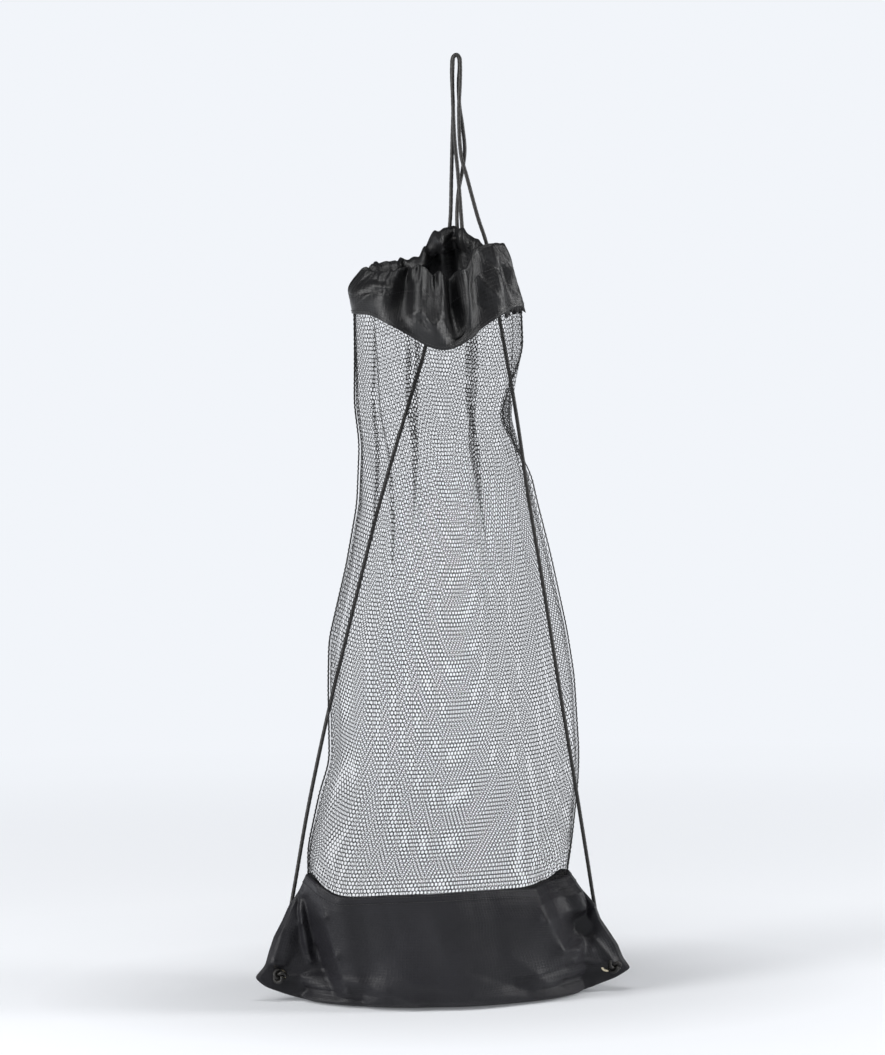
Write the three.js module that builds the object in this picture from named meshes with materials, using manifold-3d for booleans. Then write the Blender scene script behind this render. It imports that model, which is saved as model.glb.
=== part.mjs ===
import * as THREE from 'three';
import { mergeVertices } from 'three/addons/utils/BufferGeometryUtils.js';
import Module from 'manifold-3d';

// A mesh drawstring bag, hung by its cord. Lengths are in millimetres, +Z is up.
// X runs along the base panel, the front faces -Y, and the floor under the bag is at height 0
// while the pieces are made. The finished group is moved so that the origin is the hanging point.

// Sizes of the bag
const BASE_WIDTH = 402;
const BODY_DEPTH = 160;
const BASE_HEIGHT = 136;
const NET_HEIGHT = 589;
const COLLAR_HEIGHT = 66;
const RIM_WIDTH = 145;
const RIM_DEPTH = 100;
const CORNER_TAB = 46;
const TAB_THICKNESS = 4;

// How the body's sections are shaped: the share of the half width over which a side is rounded,
// and the even share of a section's lean, the rest of which grows towards the sides
const SIDE_ROUNDING = 0.2;
const EVEN_LEAN = 0.65;

// Cloth
const BASE_WALL = 1.5;
const NET_WALL = 1.2;
const COLLAR_WALL = 2;
const SEAM_LAP = 10;
const FIT_GAP = 0.3;
const FOLD_DEPTH = 10;

// Cord, its channel and its exit
const CORD_DIAMETER = 4;
const CHANNEL_WIDTH = 8;
const CHANNEL_DROP = 24;
const CORD_DROP = 12;
const EXIT_WIDTH = 22;
const EXIT_HEIGHT = 9;
const EXIT_ANGLE = 61;
const EXIT_HALF_ANGLE = 8;
const EXIT_LIFT = 1;

// The collar's rim and the channel's corners
const RIM_ROUNDING = 1;
const CHANNEL_SWELL = 0.45;
const COLLAR_ROWS = [0, 0.3, 0.6, 0.85, 1];

// Eyelets and knots
const EYELET_BORE = 7;
const EYELET_BARREL_WALL = 0.8;
const EYELET_FLANGE = 14;
const EYELET_FLANGE_THICKNESS = 1;
const EYELET_CHAMFER = 1;
const EYELET_INSET = 26.5;
const EYELET_HEIGHT = 27;
const KNOT_RADIUS = 3.8;
const KNOT_TUBE_RADIUS = 1.8;
const KNOT_SHIFT = 5;
const KNOT_WINDINGS = [2, 3];

// Fineness of the facets
const ANGLE_STEPS = 64;
const CORD_SIDES = 8;
const EYELET_SIDES = 20;
const CHANNEL_STEPS = 40;
const KNOT_STEPS = 30;
const KNOT_SIDES = 6;

const DEGREE = Math.PI / 180;
const TANGENT_STEP = 0.5 * DEGREE;
const SLOPE_STEP = 0.01;
const ROW_MARGIN = 0.02;
const TINY = 1e-6;
const MERGE_DISTANCE = 1e-4;
const HALF_WIDTH = BASE_WIDTH / 2;
const HALF_DEPTH = BODY_DEPTH / 2;
const CORD_RADIUS = CORD_DIAMETER / 2;
const TAB_HALF = TAB_THICKNESS / 2;

// Where the cord bears on whatever holds the bag up
const HANG_POINT = [19.5, 48, 987];

// Each row is a horizontal section. rise is a share of the piece's height; left, right and tab
// are shares of HALF_WIDTH, HALF_WIDTH and CORNER_TAB; front, back, seam_left and seam_right are
// shares of HALF_DEPTH, where the seams are the places furthest left and right. thin takes depth
// off the right half and gives it to the left, and lens makes the section's ends sharper.
const SECTION_COLUMNS = ['rise', 'left', 'right', 'front', 'back', 'seam_left', 'seam_right',
  'thin', 'lens', 'tab'];

const BASE_SECTIONS = rows(SECTION_COLUMNS, [
  [0.000, 0.726, 0.726, 0.72, 0.72, 0.00, 0.00, 0.00, 1.30, 0.00],
  [0.022, 0.786, 0.776, 0.82, 0.82, 0.00, 0.00, 0.00, 1.30, 0.10],
  [0.059, 0.856, 0.836, 0.89, 0.89, 0.00, 0.00, 0.00, 1.35, 0.40],
  [0.110, 0.945, 0.925, 0.93, 0.92, 0.00, 0.00, 0.00, 1.40, 0.80],
  [0.184, 1.000, 1.000, 0.95, 0.93, 0.00, 0.00, 0.00, 1.40, 1.00],
  [0.279, 0.945, 0.958, 0.96, 0.93, 0.00, 0.00, 0.00, 1.40, 0.95],
  [0.397, 0.923, 0.928, 0.97, 0.93, 0.00, 0.00, 0.00, 1.35, 0.80],
  [0.507, 0.898, 0.883, 0.97, 0.92, 0.00, 0.00, 0.00, 1.25, 0.60],
  [0.625, 0.856, 0.834, 0.97, 0.91, 0.00, 0.00, 0.00, 1.15, 0.40],
  [0.743, 0.821, 0.808, 0.97, 0.90, 0.00, 0.00, 0.02, 1.05, 0.20],
  [0.868, 0.766, 0.741, 0.97, 0.89, -0.02, 0.12, 0.06, 0.95, 0.00],
  [1.000, 0.726, 0.687, 0.96, 0.87, -0.05, 0.34, 0.12, 0.92, 0.00],
]);

const NET_SECTIONS = rows(SECTION_COLUMNS, [
  [0.000, 0.726, 0.687, 0.96, 0.87, -0.05, 0.34, 0.12, 0.92, 0.00],
  [0.048, 0.729, 0.718, 0.97, 0.85, -0.07, 0.46, 0.25, 0.95, 0.00],
  [0.151, 0.667, 0.762, 0.97, 0.80, -0.12, 0.62, 0.42, 0.97, 0.00],
  [0.204, 0.617, 0.772, 0.96, 0.78, -0.14, 0.69, 0.54, 1.00, 0.00],
  [0.341, 0.623, 0.749, 0.95, 0.75, -0.16, 0.76, 0.65, 1.00, 0.00],
  [0.423, 0.618, 0.710, 0.93, 0.74, -0.16, 0.78, 0.65, 1.00, 0.00],
  [0.555, 0.527, 0.622, 0.90, 0.72, -0.15, 0.77, 0.62, 1.00, 0.00],
  [0.662, 0.473, 0.537, 0.86, 0.70, -0.13, 0.74, 0.58, 1.00, 0.00],
  [0.771, 0.463, 0.465, 0.83, 0.68, -0.11, 0.70, 0.54, 1.00, 0.00],
  [0.806, 0.477, 0.425, 0.83, 0.68, -0.10, 0.40, 0.40, 1.00, 0.00],
  [0.840, 0.491, 0.418, 0.82, 0.67, -0.09, 0.14, 0.28, 1.00, 0.00],
  [0.930, 0.490, 0.414, 0.81, 0.66, -0.07, -0.02, 0.15, 1.02, 0.00],
  [1.000, 0.492, 0.402, 0.80, 0.65, -0.05, -0.06, 0.10, 1.05, 0.00],
]);

// The ring of the collar's rim: its middle's place, as shares of its width and depth
const RIM_MIDDLE = { across: -0.081, back: -0.02 };

// The wavy rim. height is a share of COLLAR_HEIGHT over the side hem, and angle runs from the
// right over the back.
const RIM_HEIGHTS = rows(['angle', 'height'], [
  [0, 0.98], [30, 0.97], [45, 1.09], [57, 1.24], [67, 1.28], [82, 1.22], [92, 0.98], [100, 0.80],
  [110, 0.77], [131, 0.73], [150, 0.70], [180, 0.61], [205, 0.60], [225, 0.63], [241, 0.68],
  [256, 0.71], [265, 0.56], [271, 0.62], [280, 0.48], [292, 0.66], [298, 0.83], [306, 0.97],
  [320, 1.04], [345, 1.04],
]);

// Heights of the two hems as shares, at the sides, front and back. bend says how long the sides
// stay high.
const BASE_HEM = { right: 0.92, left: 0.99, front: 0.92, back: 0.70, bend: 6 };
const COLLAR_HEM = { right: 0.06, left: -0.04, front: -0.58, back: 0.18, bend: 1 };

// Folds and pleats of the net and collar. spread is in degrees, depth is a share of FOLD_DEPTH
// and positive inwards. start, peak and stop are levels: 1 is the base hem, 2 the collar hem and
// 3 the rim.
const FOLDS = rows(['angle', 'spread', 'depth', 'start', 'peak', 'stop'], [
  [212, 7, 0.50, 1.25, 1.95, 2.60],
  [232, 6, -0.25, 1.40, 2.00, 3.20],
  [241, 6, 0.70, 2.20, 3.00, 3.80],
  [254, 7, 0.50, 1.35, 2.00, 2.80],
  [265, 6, 0.45, 2.40, 3.00, 3.80],
  [282, 6, 0.80, 1.80, 2.90, 3.80],
  [298, 8, 0.60, 1.20, 2.00, 3.20],
  [313, 6, 0.60, 2.10, 2.90, 3.80],
  [332, 8, 0.35, 1.40, 2.00, 3.00],
  [350, 7, -0.30, 1.60, 2.10, 3.20],
  [20, 7, 0.30, 2.00, 2.60, 3.60],
  [38, 6, 0.45, 1.50, 2.40, 3.60],
  [95, 6, 0.70, 1.50, 2.90, 3.80],
  [112, 6, 0.40, 2.20, 3.00, 3.80],
  [128, 7, 0.45, 1.40, 2.00, 3.00],
  [150, 8, 0.40, 1.50, 2.50, 3.60],
  [175, 8, 0.35, 1.50, 2.00, 2.70],
  [190, 24, -0.50, 1.95, 2.55, 3.10],
  [0, 9, 1.90, 1.68, 1.81, 1.94],
]);

// Dents and ridges of the base panel, each along a line on one face. x is a share of HALF_WIDTH,
// z of BASE_HEIGHT, spread and depth of FOLD_DEPTH, with depth positive outwards.
const BASE_DENTS = rows(['face', 'x1', 'z1', 'x2', 'z2', 'spread', 'depth'], [
  ['front', 0.50, 0.98, 0.74, 0.42, 1.30, -1.30],
  ['front', -0.69, 0.93, -0.58, 0.20, 0.80, 0.50],
  ['front', -0.75, 0.80, -0.67, 0.40, 0.90, -0.60],
  ['front', -0.80, 0.24, -0.48, 0.11, 0.60, -0.40],
  ['back', 0.60, 0.85, 0.72, 0.45, 1.20, -0.90],
  ['back', -0.66, 0.90, -0.70, 0.45, 1.20, -0.90],
]);

// The cord's free stretches, from the channel's exit over the hanging point to the eyelets
const LEFT_CORD_POINTS = [
  [14.6, 39.3, 797.3], [17.2, 38.8, 797.3], [20, 41, 798], [21.3, 45.5, 799.5], [21.6, 50, 803.5],
  [21.5, 54, 811], [21.8, 56, 828], [23.5, 56, 848], [27.5, 54.8, 870], [29.5, 53.7, 890],
  [27, 52.5, 914], [23.5, 51.5, 937], [22.5, 50.7, 960], [23.4, 50.4, 977], [22.5, 50.5, 986.2],
  [19.5, 50.7, 989], [16.5, 51, 986.2], [15.6, 51.6, 977], [16, 53, 960], [17.5, 55.5, 935],
  [17, 57.5, 905], [16, 58, 860], [14.5, 57, 815], [8, 57.5, 765], [-12, 58, 681],
  [-26, 57, 635], [-45, 52, 575], [-63, 47.5, 515], [-79, 43, 455], [-97, 38.5, 385],
  [-121, 32, 290], [-142, 25.5, 195], [-156, 19.5, 120], [-166, 15.5, 70], [-172.5, 12, 42],
  [-174.3, 8.5, 31], [-174.5, 5, 27.5], [-174.5, 1, 27], [-174.5, -3.2, 27],
];
const RIGHT_CORD_POINTS = [
  [30.7, 33.1, 792.6], [28.4, 34.5, 793.6], [26.4, 38, 795], [26, 42.5, 796.6], [26.3, 47, 801],
  [26.1, 49.5, 809], [24.6, 50.2, 830], [21.5, 49.6, 868], [18, 48, 900], [16.3, 46.8, 930],
  [15.4, 46.2, 960], [15.6, 46, 977], [16.5, 45.9, 986.2], [19.5, 45.8, 989], [22.5, 45.5, 986.2],
  [23.4, 45, 977], [23, 43.5, 960], [21.5, 41.5, 930], [23.5, 39.5, 885], [29.5, 38.5, 862],
  [41, 37.5, 820], [50.6, 36.4, 790], [61.7, 34.3, 725], [80.8, 30.8, 615], [94, 27, 524],
  [109.2, 23.5, 432], [126, 20, 325], [144.5, 16.5, 211], [155, 14.5, 145], [163, 13, 94],
  [169.5, 11.5, 55], [173.5, 9.2, 34], [174.5, 6.2, 28], [174.5, 2, 27], [174.5, -3.2, 27],
];

// Looks of the pieces
const FABRIC = { color: 0x26262a, roughness: 0.62, metalness: 0 };
const NET = { color: 0x17171a, roughness: 0.7, metalness: 0 };
const CORD = { color: 0x141312, roughness: 0.55, metalness: 0 };
const METAL = { color: 0xc9c2a8, roughness: 0.25, metalness: 1 };

const wasm = await Module();
wasm.setup();

// Tables and small sums

function rows(columns, values) {
  return values.map((row) => Object.fromEntries(columns.map((name, i) => [name, row[i]])));
}

function mix(a, b, share) {
  return a + (b - a) * share;
}

function smooth(share) {
  const s = Math.min(1, Math.max(0, share));
  return s * s * (3 - 2 * s);
}

// The row of a table at a rise between its own rows
function sectionAt(sections, rise) {
  const upper = Math.max(1, sections.findIndex((row) => row.rise >= rise - TINY));
  const a = sections[upper - 1];
  const b = sections[upper];
  const share = (rise - a.rise) / (b.rise - a.rise);
  return Object.fromEntries(SECTION_COLUMNS.map((name) => [name, mix(a[name], b[name], share)]));
}

function rimHeight(angle) {
  const degrees = ((angle / DEGREE) % 360 + 360) % 360;
  const last = RIM_HEIGHTS.length - 1;
  let index = RIM_HEIGHTS.findIndex((row) => row.angle > degrees) - 1;
  if (index < 0) {
    index = last;
  }
  const a = RIM_HEIGHTS[index];
  const b = RIM_HEIGHTS[(index + 1) % RIM_HEIGHTS.length];
  const span = index === last ? 360 - a.angle : b.angle - a.angle;
  const share = (degrees - a.angle) / span;
  return BASE_HEIGHT + NET_HEIGHT + COLLAR_HEIGHT * mix(a.height, b.height, smooth(share));
}

function hemShare(hem, angle) {
  const side = mix(hem.left, hem.right, (1 + Math.cos(angle)) / 2);
  const face = mix(hem.front, hem.back, (1 + Math.sin(angle)) / 2);
  return mix(face, side, smooth(Math.abs(Math.cos(angle)) ** hem.bend));
}

// Height of a level: 0 the floor, 1 the base hem, 2 the collar hem, 3 the rim
function heightAt(angle, level) {
  const baseHem = BASE_HEIGHT * hemShare(BASE_HEM, angle);
  const collarHem = BASE_HEIGHT + NET_HEIGHT + COLLAR_HEIGHT * hemShare(COLLAR_HEM, angle);
  if (level <= 1) {
    return baseHem * level;
  }
  if (level <= 2) {
    return mix(baseHem, collarHem, level - 1);
  }
  return mix(collarHem, rimHeight(angle), level - 2);
}

// Level of the point that lies a drop below another level
function levelBelow(angle, level, drop) {
  const floor = Math.ceil(level) - 1;
  const span = heightAt(angle, floor + 1) - heightAt(angle, floor);
  return level - drop / span;
}

// Depth of a section over its seam line, without folds, at a share of its half width
function halfDepth(section, face, across, halfWidth) {
  const seam = (section.seam_left + section.seam_right) / 2 * HALF_DEPTH;
  const reach = face === 'front'
    ? section.front * HALF_DEPTH + seam
    : section.back * HALF_DEPTH - seam;
  const width = 1 - section.tab * CORNER_TAB / halfWidth;
  const inside = Math.min(1, Math.abs(across) / width);
  const lens = (1 - inside * inside) ** (section.lens / 2);
  const leaning = across * mix(EVEN_LEAN, 1, across);
  const thin = face === 'front' ? 1 - section.thin * leaning : 1;
  return TAB_HALF + (reach - TAB_HALF) * lens * thin;
}

function dentAt(face, x, z) {
  let sum = 0;
  for (const dent of BASE_DENTS.filter((row) => row.face === face)) {
    const start = new THREE.Vector2(dent.x1 * HALF_WIDTH, dent.z1 * BASE_HEIGHT);
    const end = new THREE.Vector2(dent.x2 * HALF_WIDTH, dent.z2 * BASE_HEIGHT);
    const line = end.clone().sub(start);
    const point = new THREE.Vector2(x, z);
    const share = Math.min(1, Math.max(0, point.clone().sub(start).dot(line) / line.lengthSq()));
    const distance = point.distanceTo(start.addScaledVector(line, share));
    const spread = dent.spread * FOLD_DEPTH;
    sum += dent.depth * FOLD_DEPTH * Math.exp(-0.5 * (distance / spread) ** 2);
  }
  return sum;
}

// A point of the base panel's or net's outer skin, before the folds of the net
function skinPoint(angle, level) {
  const section = level <= 1
    ? sectionAt(BASE_SECTIONS, level)
    : sectionAt(NET_SECTIONS, Math.min(1, level - 1));
  const halfWidth = (section.left + section.right) / 2 * HALF_WIDTH;
  const across = Math.cos(angle);
  const x = (section.right - section.left) / 2 * HALF_WIDTH + halfWidth * across;
  return new THREE.Vector2(x, faceDepth(section, angle, across, halfWidth, x, heightAt(angle, level)));
}

function faceDepth(section, angle, across, halfWidth, x, z) {
  const seam = mix(section.seam_left, section.seam_right, (1 + across) / 2) * HALF_DEPTH;
  const side = Math.sin(angle);
  if (Math.abs(side) < TINY) {
    return seam;
  }
  const face = side < 0 ? 'front' : 'back';
  const rounding = Math.min(1, Math.abs(side) / SIDE_ROUNDING);
  const depth = (halfDepth(section, face, across, halfWidth) + dentAt(face, x, z)) * rounding;
  return seam + Math.sign(side) * Math.max(depth, TAB_HALF * rounding);
}

function rimPoint(angle) {
  const x = RIM_WIDTH * (RIM_MIDDLE.across + Math.cos(angle) / 2);
  const y = RIM_DEPTH * (RIM_MIDDLE.back + Math.sin(angle) / 2);
  return new THREE.Vector2(x, y);
}

function ringPoint(angle, level) {
  const skin = skinPoint(angle, level);
  return level <= 2 ? skin : skin.lerp(rimPoint(angle), level - 2);
}

function foldAt(angle, level) {
  let sum = 0;
  for (const fold of FOLDS) {
    const turn = Math.abs(angle / DEGREE - fold.angle) % 360;
    const away = Math.min(turn, 360 - turn) / fold.spread;
    const rising = smooth((level - fold.start) / (fold.peak - fold.start));
    const falling = smooth((fold.stop - level) / (fold.stop - fold.peak));
    sum += fold.depth * FOLD_DEPTH * Math.exp(-0.5 * away * away) * Math.min(rising, falling);
  }
  return sum;
}

function ringTangent(angle, level) {
  const ahead = ringPoint(angle + TANGENT_STEP, level);
  return ahead.sub(ringPoint(angle - TANGENT_STEP, level)).normalize();
}

// A point of the cloth, an inset inside the outer skin
function clothPoint(angle, level, inset) {
  const tangent = ringTangent(angle, level);
  const inwards = new THREE.Vector2(-tangent.y, tangent.x);
  const point = ringPoint(angle, level).addScaledVector(inwards, inset + foldAt(angle, level));
  return new THREE.Vector3(point.x, point.y, heightAt(angle, level));
}

// Meshes

// One closed body from a grid of points, closed along both ways or capped at its two ends
function gridBody(grid, caps) {
  const positions = [];
  const columns = grid[0].length;
  grid.forEach((row) => row.forEach((point) => positions.push(point.x, point.y, point.z)));
  const index = [];
  const lines = caps ? grid.length - 1 : grid.length;
  for (let i = 0; i < lines; i += 1) {
    const next = (i + 1) % grid.length;
    for (let j = 0; j < columns; j += 1) {
      const a = i * columns + j;
      const b = i * columns + (j + 1) % columns;
      const c = next * columns + (j + 1) % columns;
      const d = next * columns + j;
      // Neighbouring layers of cloth are split the same way, from low to high
      const rising = grid[next][j].z >= grid[i][j].z;
      index.push(...(rising ? [a, b, c, a, c, d] : [a, b, d, b, c, d]));
    }
  }
  if (caps) {
    addCap(positions, index, 0, columns, true);
    addCap(positions, index, (grid.length - 1) * columns, columns, false);
  }
  const geometry = new THREE.BufferGeometry();
  geometry.setAttribute('position', new THREE.Float32BufferAttribute(positions, 3));
  geometry.setIndex(index);
  return geometry;
}

// A fan from a middle point, on a row of the grid that is nearly flat
function addCap(positions, index, first, count, flipped) {
  const middle = new THREE.Vector3();
  for (let j = 0; j < count; j += 1) {
    middle.add(new THREE.Vector3().fromArray(positions, (first + j) * 3));
  }
  middle.divideScalar(count);
  const hub = positions.length / 3;
  positions.push(middle.x, middle.y, middle.z);
  for (let j = 0; j < count; j += 1) {
    const a = first + j;
    const b = first + (j + 1) % count;
    index.push(...(flipped ? [b, a, hub] : [a, b, hub]));
  }
}

function toManifold(geometry) {
  const bare = new THREE.BufferGeometry();
  bare.setAttribute('position', geometry.getAttribute('position'));
  bare.setIndex(geometry.getIndex());
  const merged = mergeVertices(bare, MERGE_DISTANCE);
  return new wasm.Manifold(new wasm.Mesh({
    numProp: 3,
    vertProperties: new Float32Array(merged.getAttribute('position').array),
    triVerts: new Uint32Array(merged.getIndex().array),
  }));
}

function toGeometry(manifold) {
  const mesh = manifold.getMesh();
  const geometry = new THREE.BufferGeometry();
  geometry.setAttribute('position', new THREE.Float32BufferAttribute(mesh.vertProperties, 3));
  geometry.setIndex(new THREE.Uint32BufferAttribute(mesh.triVerts, 1));
  return geometry;
}

function piece(name, geometry, look) {
  const mesh = new THREE.Mesh(geometry, new THREE.MeshStandardMaterial(look));
  mesh.name = name;
  return mesh;
}

function angles(count) {
  return Array.from({ length: count }, (_, i) => i * 360 / count * DEGREE);
}

// Cloth pieces

// The inner side of the pinched pouch, where its two faces lie a wall inside the outer ones
function pouchInside(section, level, angle) {
  const halfWidth = (section.left + section.right) / 2 * HALF_WIDTH;
  const middle = (section.right - section.left) / 2 * HALF_WIDTH;
  const reach = 1 - (section.tab * CORNER_TAB + 2 * BASE_WALL) / halfWidth;
  const across = reach * Math.cos(angle);
  const x = middle + halfWidth * across;
  const seam = mix(section.seam_left, section.seam_right, (1 + across) / 2) * HALF_DEPTH;
  const side = Math.sin(angle);
  if (Math.abs(side) < TINY) {
    return new THREE.Vector2(x, seam);
  }
  const face = side < 0 ? 'front' : 'back';
  const z = heightAt(angle, level);
  const depth = halfDepth(section, face, across, halfWidth);
  const slope = (halfDepth(section, face, across + SLOPE_STEP, halfWidth)
    - halfDepth(section, face, across - SLOPE_STEP, halfWidth)) / (2 * SLOPE_STEP * halfWidth);
  const wall = BASE_WALL * Math.sqrt(1 + slope * slope);
  const inner = Math.max(depth + dentAt(face, x, z) - wall, FIT_GAP);
  return new THREE.Vector2(x, seam + Math.sign(side) * inner);
}

function basePanel() {
  const outerLevels = BASE_SECTIONS.map((row) => row.rise);
  const lapLevel = 1 - SEAM_LAP / BASE_HEIGHT;
  const outer = [...outerLevels.filter((level) => level < lapLevel - ROW_MARGIN), lapLevel, 1];
  const grid = outer.map((level) => angles(ANGLE_STEPS).map((angle) => clothPoint(angle, level, 0)));
  grid.push(angles(ANGLE_STEPS).map((angle) => clothPoint(angle, 1, BASE_WALL)));
  grid.push(angles(ANGLE_STEPS).map((angle) => clothPoint(angle, lapLevel, BASE_WALL)));
  const innerLevels = BASE_SECTIONS.map((row) => row.rise)
    .filter((level, i) => i % 2 === 1 && level < lapLevel - ROW_MARGIN).reverse();
  for (const level of innerLevels) {
    const section = sectionAt(BASE_SECTIONS, level);
    grid.push(angles(ANGLE_STEPS).map((angle) => {
      const point = pouchInside(section, level, angle);
      return new THREE.Vector3(point.x, point.y, Math.max(heightAt(angle, level), BASE_WALL));
    }));
  }
  let body = toManifold(gridBody(grid, true));
  for (const side of [-1, 1]) {
    body = body.subtract(toManifold(eyeletCutter(side)));
  }
  return toGeometry(body);
}

function netPanel(face) {
  const lapBelow = 1 - SEAM_LAP / BASE_HEIGHT;
  const levels = [lapBelow, ...NET_SECTIONS.map((row) => 1 + row.rise)];
  const inset = Math.max(BASE_WALL, COLLAR_WALL) + FIT_GAP;
  const half = ANGLE_STEPS / 2;
  const first = face === 'back' ? 0 : half;
  const seamHalf = FIT_GAP / 2;
  const columns = [];
  for (let i = 0; i <= half; i += 1) {
    columns.push((first + i) * 360 / ANGLE_STEPS * DEGREE);
  }
  const strip = (level, depth) => columns.map((angle, i) => {
    const point = clothPoint(angle, level, depth);
    const before = clothPoint(columns[Math.max(0, i - 1)], level, depth);
    const after = clothPoint(columns[Math.min(half, i + 1)], level, depth);
    if (i === 0) {
      point.addScaledVector(after.clone().sub(point).normalize(), seamHalf);
    }
    if (i === half) {
      point.addScaledVector(before.clone().sub(point).normalize(), seamHalf);
    }
    return point;
  });
  const grid = levels.concat(2 + SEAM_LAP / COLLAR_HEIGHT).map((level) => [
    ...strip(level, inset),
    ...strip(level, inset + NET_WALL).reverse(),
  ]);
  return flatStripBody(grid);
}

// A closed body from rows of points round a thin strip, with its first and last rows closed
function flatStripBody(grid) {
  const geometry = gridBody(grid, false);
  const columns = grid[0].length;
  const index = Array.from(geometry.getIndex().array);
  index.length -= columns * 6;
  const half = columns / 2;
  const last = (grid.length - 1) * columns;
  for (let j = 0; j < half - 1; j += 1) {
    const mirror = columns - 1 - j;
    index.push(j + 1, j, mirror, j + 1, mirror, mirror - 1);
    index.push(last + j, last + j + 1, last + mirror, last + j + 1, last + mirror - 1, last + mirror);
  }
  geometry.setIndex(index);
  return geometry;
}

// The collar's section: up the outer side, over the rim, down the folded layer, round the
// channel and down the inner side. Each row is a depth inside the outer skin and a drop.
function collarProfile(angle) {
  const folded = 2 * COLLAR_WALL + FIT_GAP;
  const channel = 2 * COLLAR_WALL + CHANNEL_WIDTH;
  const swell = CORD_DROP * CHANNEL_SWELL;
  const points = COLLAR_ROWS.map((share) => ({ inset: 0, level: 2 + share }));
  const dropped = (inset, drop) => points.push({ inset, level: levelBelow(angle, 3, drop) });
  dropped(COLLAR_WALL, -RIM_ROUNDING);
  dropped(folded, 0);
  dropped(channel, CORD_DROP - swell);
  dropped(channel, CORD_DROP + swell);
  dropped(folded, CHANNEL_DROP);
  dropped(COLLAR_WALL + FIT_GAP, CHANNEL_DROP);
  dropped(channel - COLLAR_WALL, CORD_DROP + swell);
  dropped(channel - COLLAR_WALL, CORD_DROP - swell);
  dropped(COLLAR_WALL + FIT_GAP, COLLAR_WALL);
  dropped(COLLAR_WALL, COLLAR_WALL + RIM_ROUNDING);
  dropped(COLLAR_WALL, CHANNEL_DROP + RIM_ROUNDING);
  points.push({ inset: COLLAR_WALL, level: 2 + SEAM_LAP / COLLAR_HEIGHT });
  points.push({ inset: COLLAR_WALL, level: 2 });
  return points;
}

function collar() {
  const profiles = angles(ANGLE_STEPS).map((angle) => collarProfile(angle)
    .map((row) => clothPoint(angle, row.level, row.inset)));
  const grid = profiles[0].map((_, i) => profiles.map((profile) => profile[i]));
  const body = toManifold(gridBody(grid, false));
  return toGeometry(body.subtract(toManifold(exitCutter())));
}

// The opening in the collar's back where both ends of the cord leave the channel
function exitCutter() {
  const angle = EXIT_ANGLE * DEGREE;
  const level = levelBelow(angle, 3, CORD_DROP - EXIT_LIFT);
  const middle = clothPoint(angle, level, 0);
  const tangent = ringTangent(angle, level);
  const depth = COLLAR_WALL + CHANNEL_WIDTH / 2;
  const box = new THREE.BoxGeometry(EXIT_WIDTH, 2 * depth, EXIT_HEIGHT);
  box.deleteAttribute('normal');
  box.deleteAttribute('uv');
  box.rotateZ(Math.atan(tangent.y / tangent.x));
  box.translate(middle.x, middle.y, middle.z);
  return box;
}

// Cord pieces

// A line through chosen points whose steps are those points, near or far apart
class PointLine extends THREE.CatmullRomCurve3 {
  getPointAt(share, target) {
    return this.getPoint(share, target);
  }

  getTangentAt(share, target) {
    return this.getTangent(share, target);
  }

  getSpacedPoints(steps) {
    return this.getPoints(steps);
  }
}

function tubeAlong(points) {
  const curve = new PointLine(points.map((p) => new THREE.Vector3(...p)), false, 'centripetal');
  const steps = points.length - 1;
  const section = new THREE.Shape();
  for (let i = 0; i < CORD_SIDES; i += 1) {
    const turn = i * 2 * Math.PI / CORD_SIDES;
    const corner = [CORD_RADIUS * Math.cos(turn), CORD_RADIUS * Math.sin(turn)];
    if (i === 0) {
      section.moveTo(...corner);
    } else {
      section.lineTo(...corner);
    }
  }
  section.closePath();
  const geometry = new THREE.ExtrudeGeometry(section, { steps, extrudePath: curve });
  geometry.deleteAttribute('normal');
  geometry.deleteAttribute('uv');
  return mergeVertices(geometry, MERGE_DISTANCE);
}

function channelCord() {
  const points = [];
  const turn = 360 - 2 * EXIT_HALF_ANGLE;
  for (let i = 0; i <= CHANNEL_STEPS; i += 1) {
    const angle = (EXIT_ANGLE + EXIT_HALF_ANGLE + turn * i / CHANNEL_STEPS) * DEGREE;
    const level = levelBelow(angle, 3, CORD_DROP);
    const point = clothPoint(angle, level, COLLAR_WALL + CHANNEL_WIDTH / 2);
    points.push(point.toArray());
  }
  return tubeAlong(points);
}

function eyeletPlace(side) {
  return [side * (HALF_WIDTH - EYELET_INSET), 0, EYELET_HEIGHT];
}

function lathed(profile, side) {
  const geometry = new THREE.LatheGeometry(profile.map((p) => new THREE.Vector2(...p)), EYELET_SIDES);
  geometry.deleteAttribute('normal');
  geometry.deleteAttribute('uv');
  geometry.translate(...eyeletPlace(side));
  return mergeVertices(geometry, MERGE_DISTANCE);
}

function eyeletCutter(side) {
  const radius = EYELET_BORE / 2 + EYELET_BARREL_WALL + FIT_GAP;
  const reach = TAB_THICKNESS;
  return lathed([[0, -reach], [radius, -reach], [radius, reach], [0, reach]], side);
}

function eyelet(side) {
  const bore = EYELET_BORE / 2;
  const barrel = bore + EYELET_BARREL_WALL;
  const flange = EYELET_FLANGE / 2;
  const face = TAB_HALF + FIT_GAP;
  const back = face + EYELET_FLANGE_THICKNESS;
  const edge = flange - EYELET_CHAMFER;
  return lathed([[bore, -back], [edge, -back], [flange, -face], [barrel, -face],
    [barrel, face], [flange, face], [edge, back], [bore, back], [bore, -back]], side);
}

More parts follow.
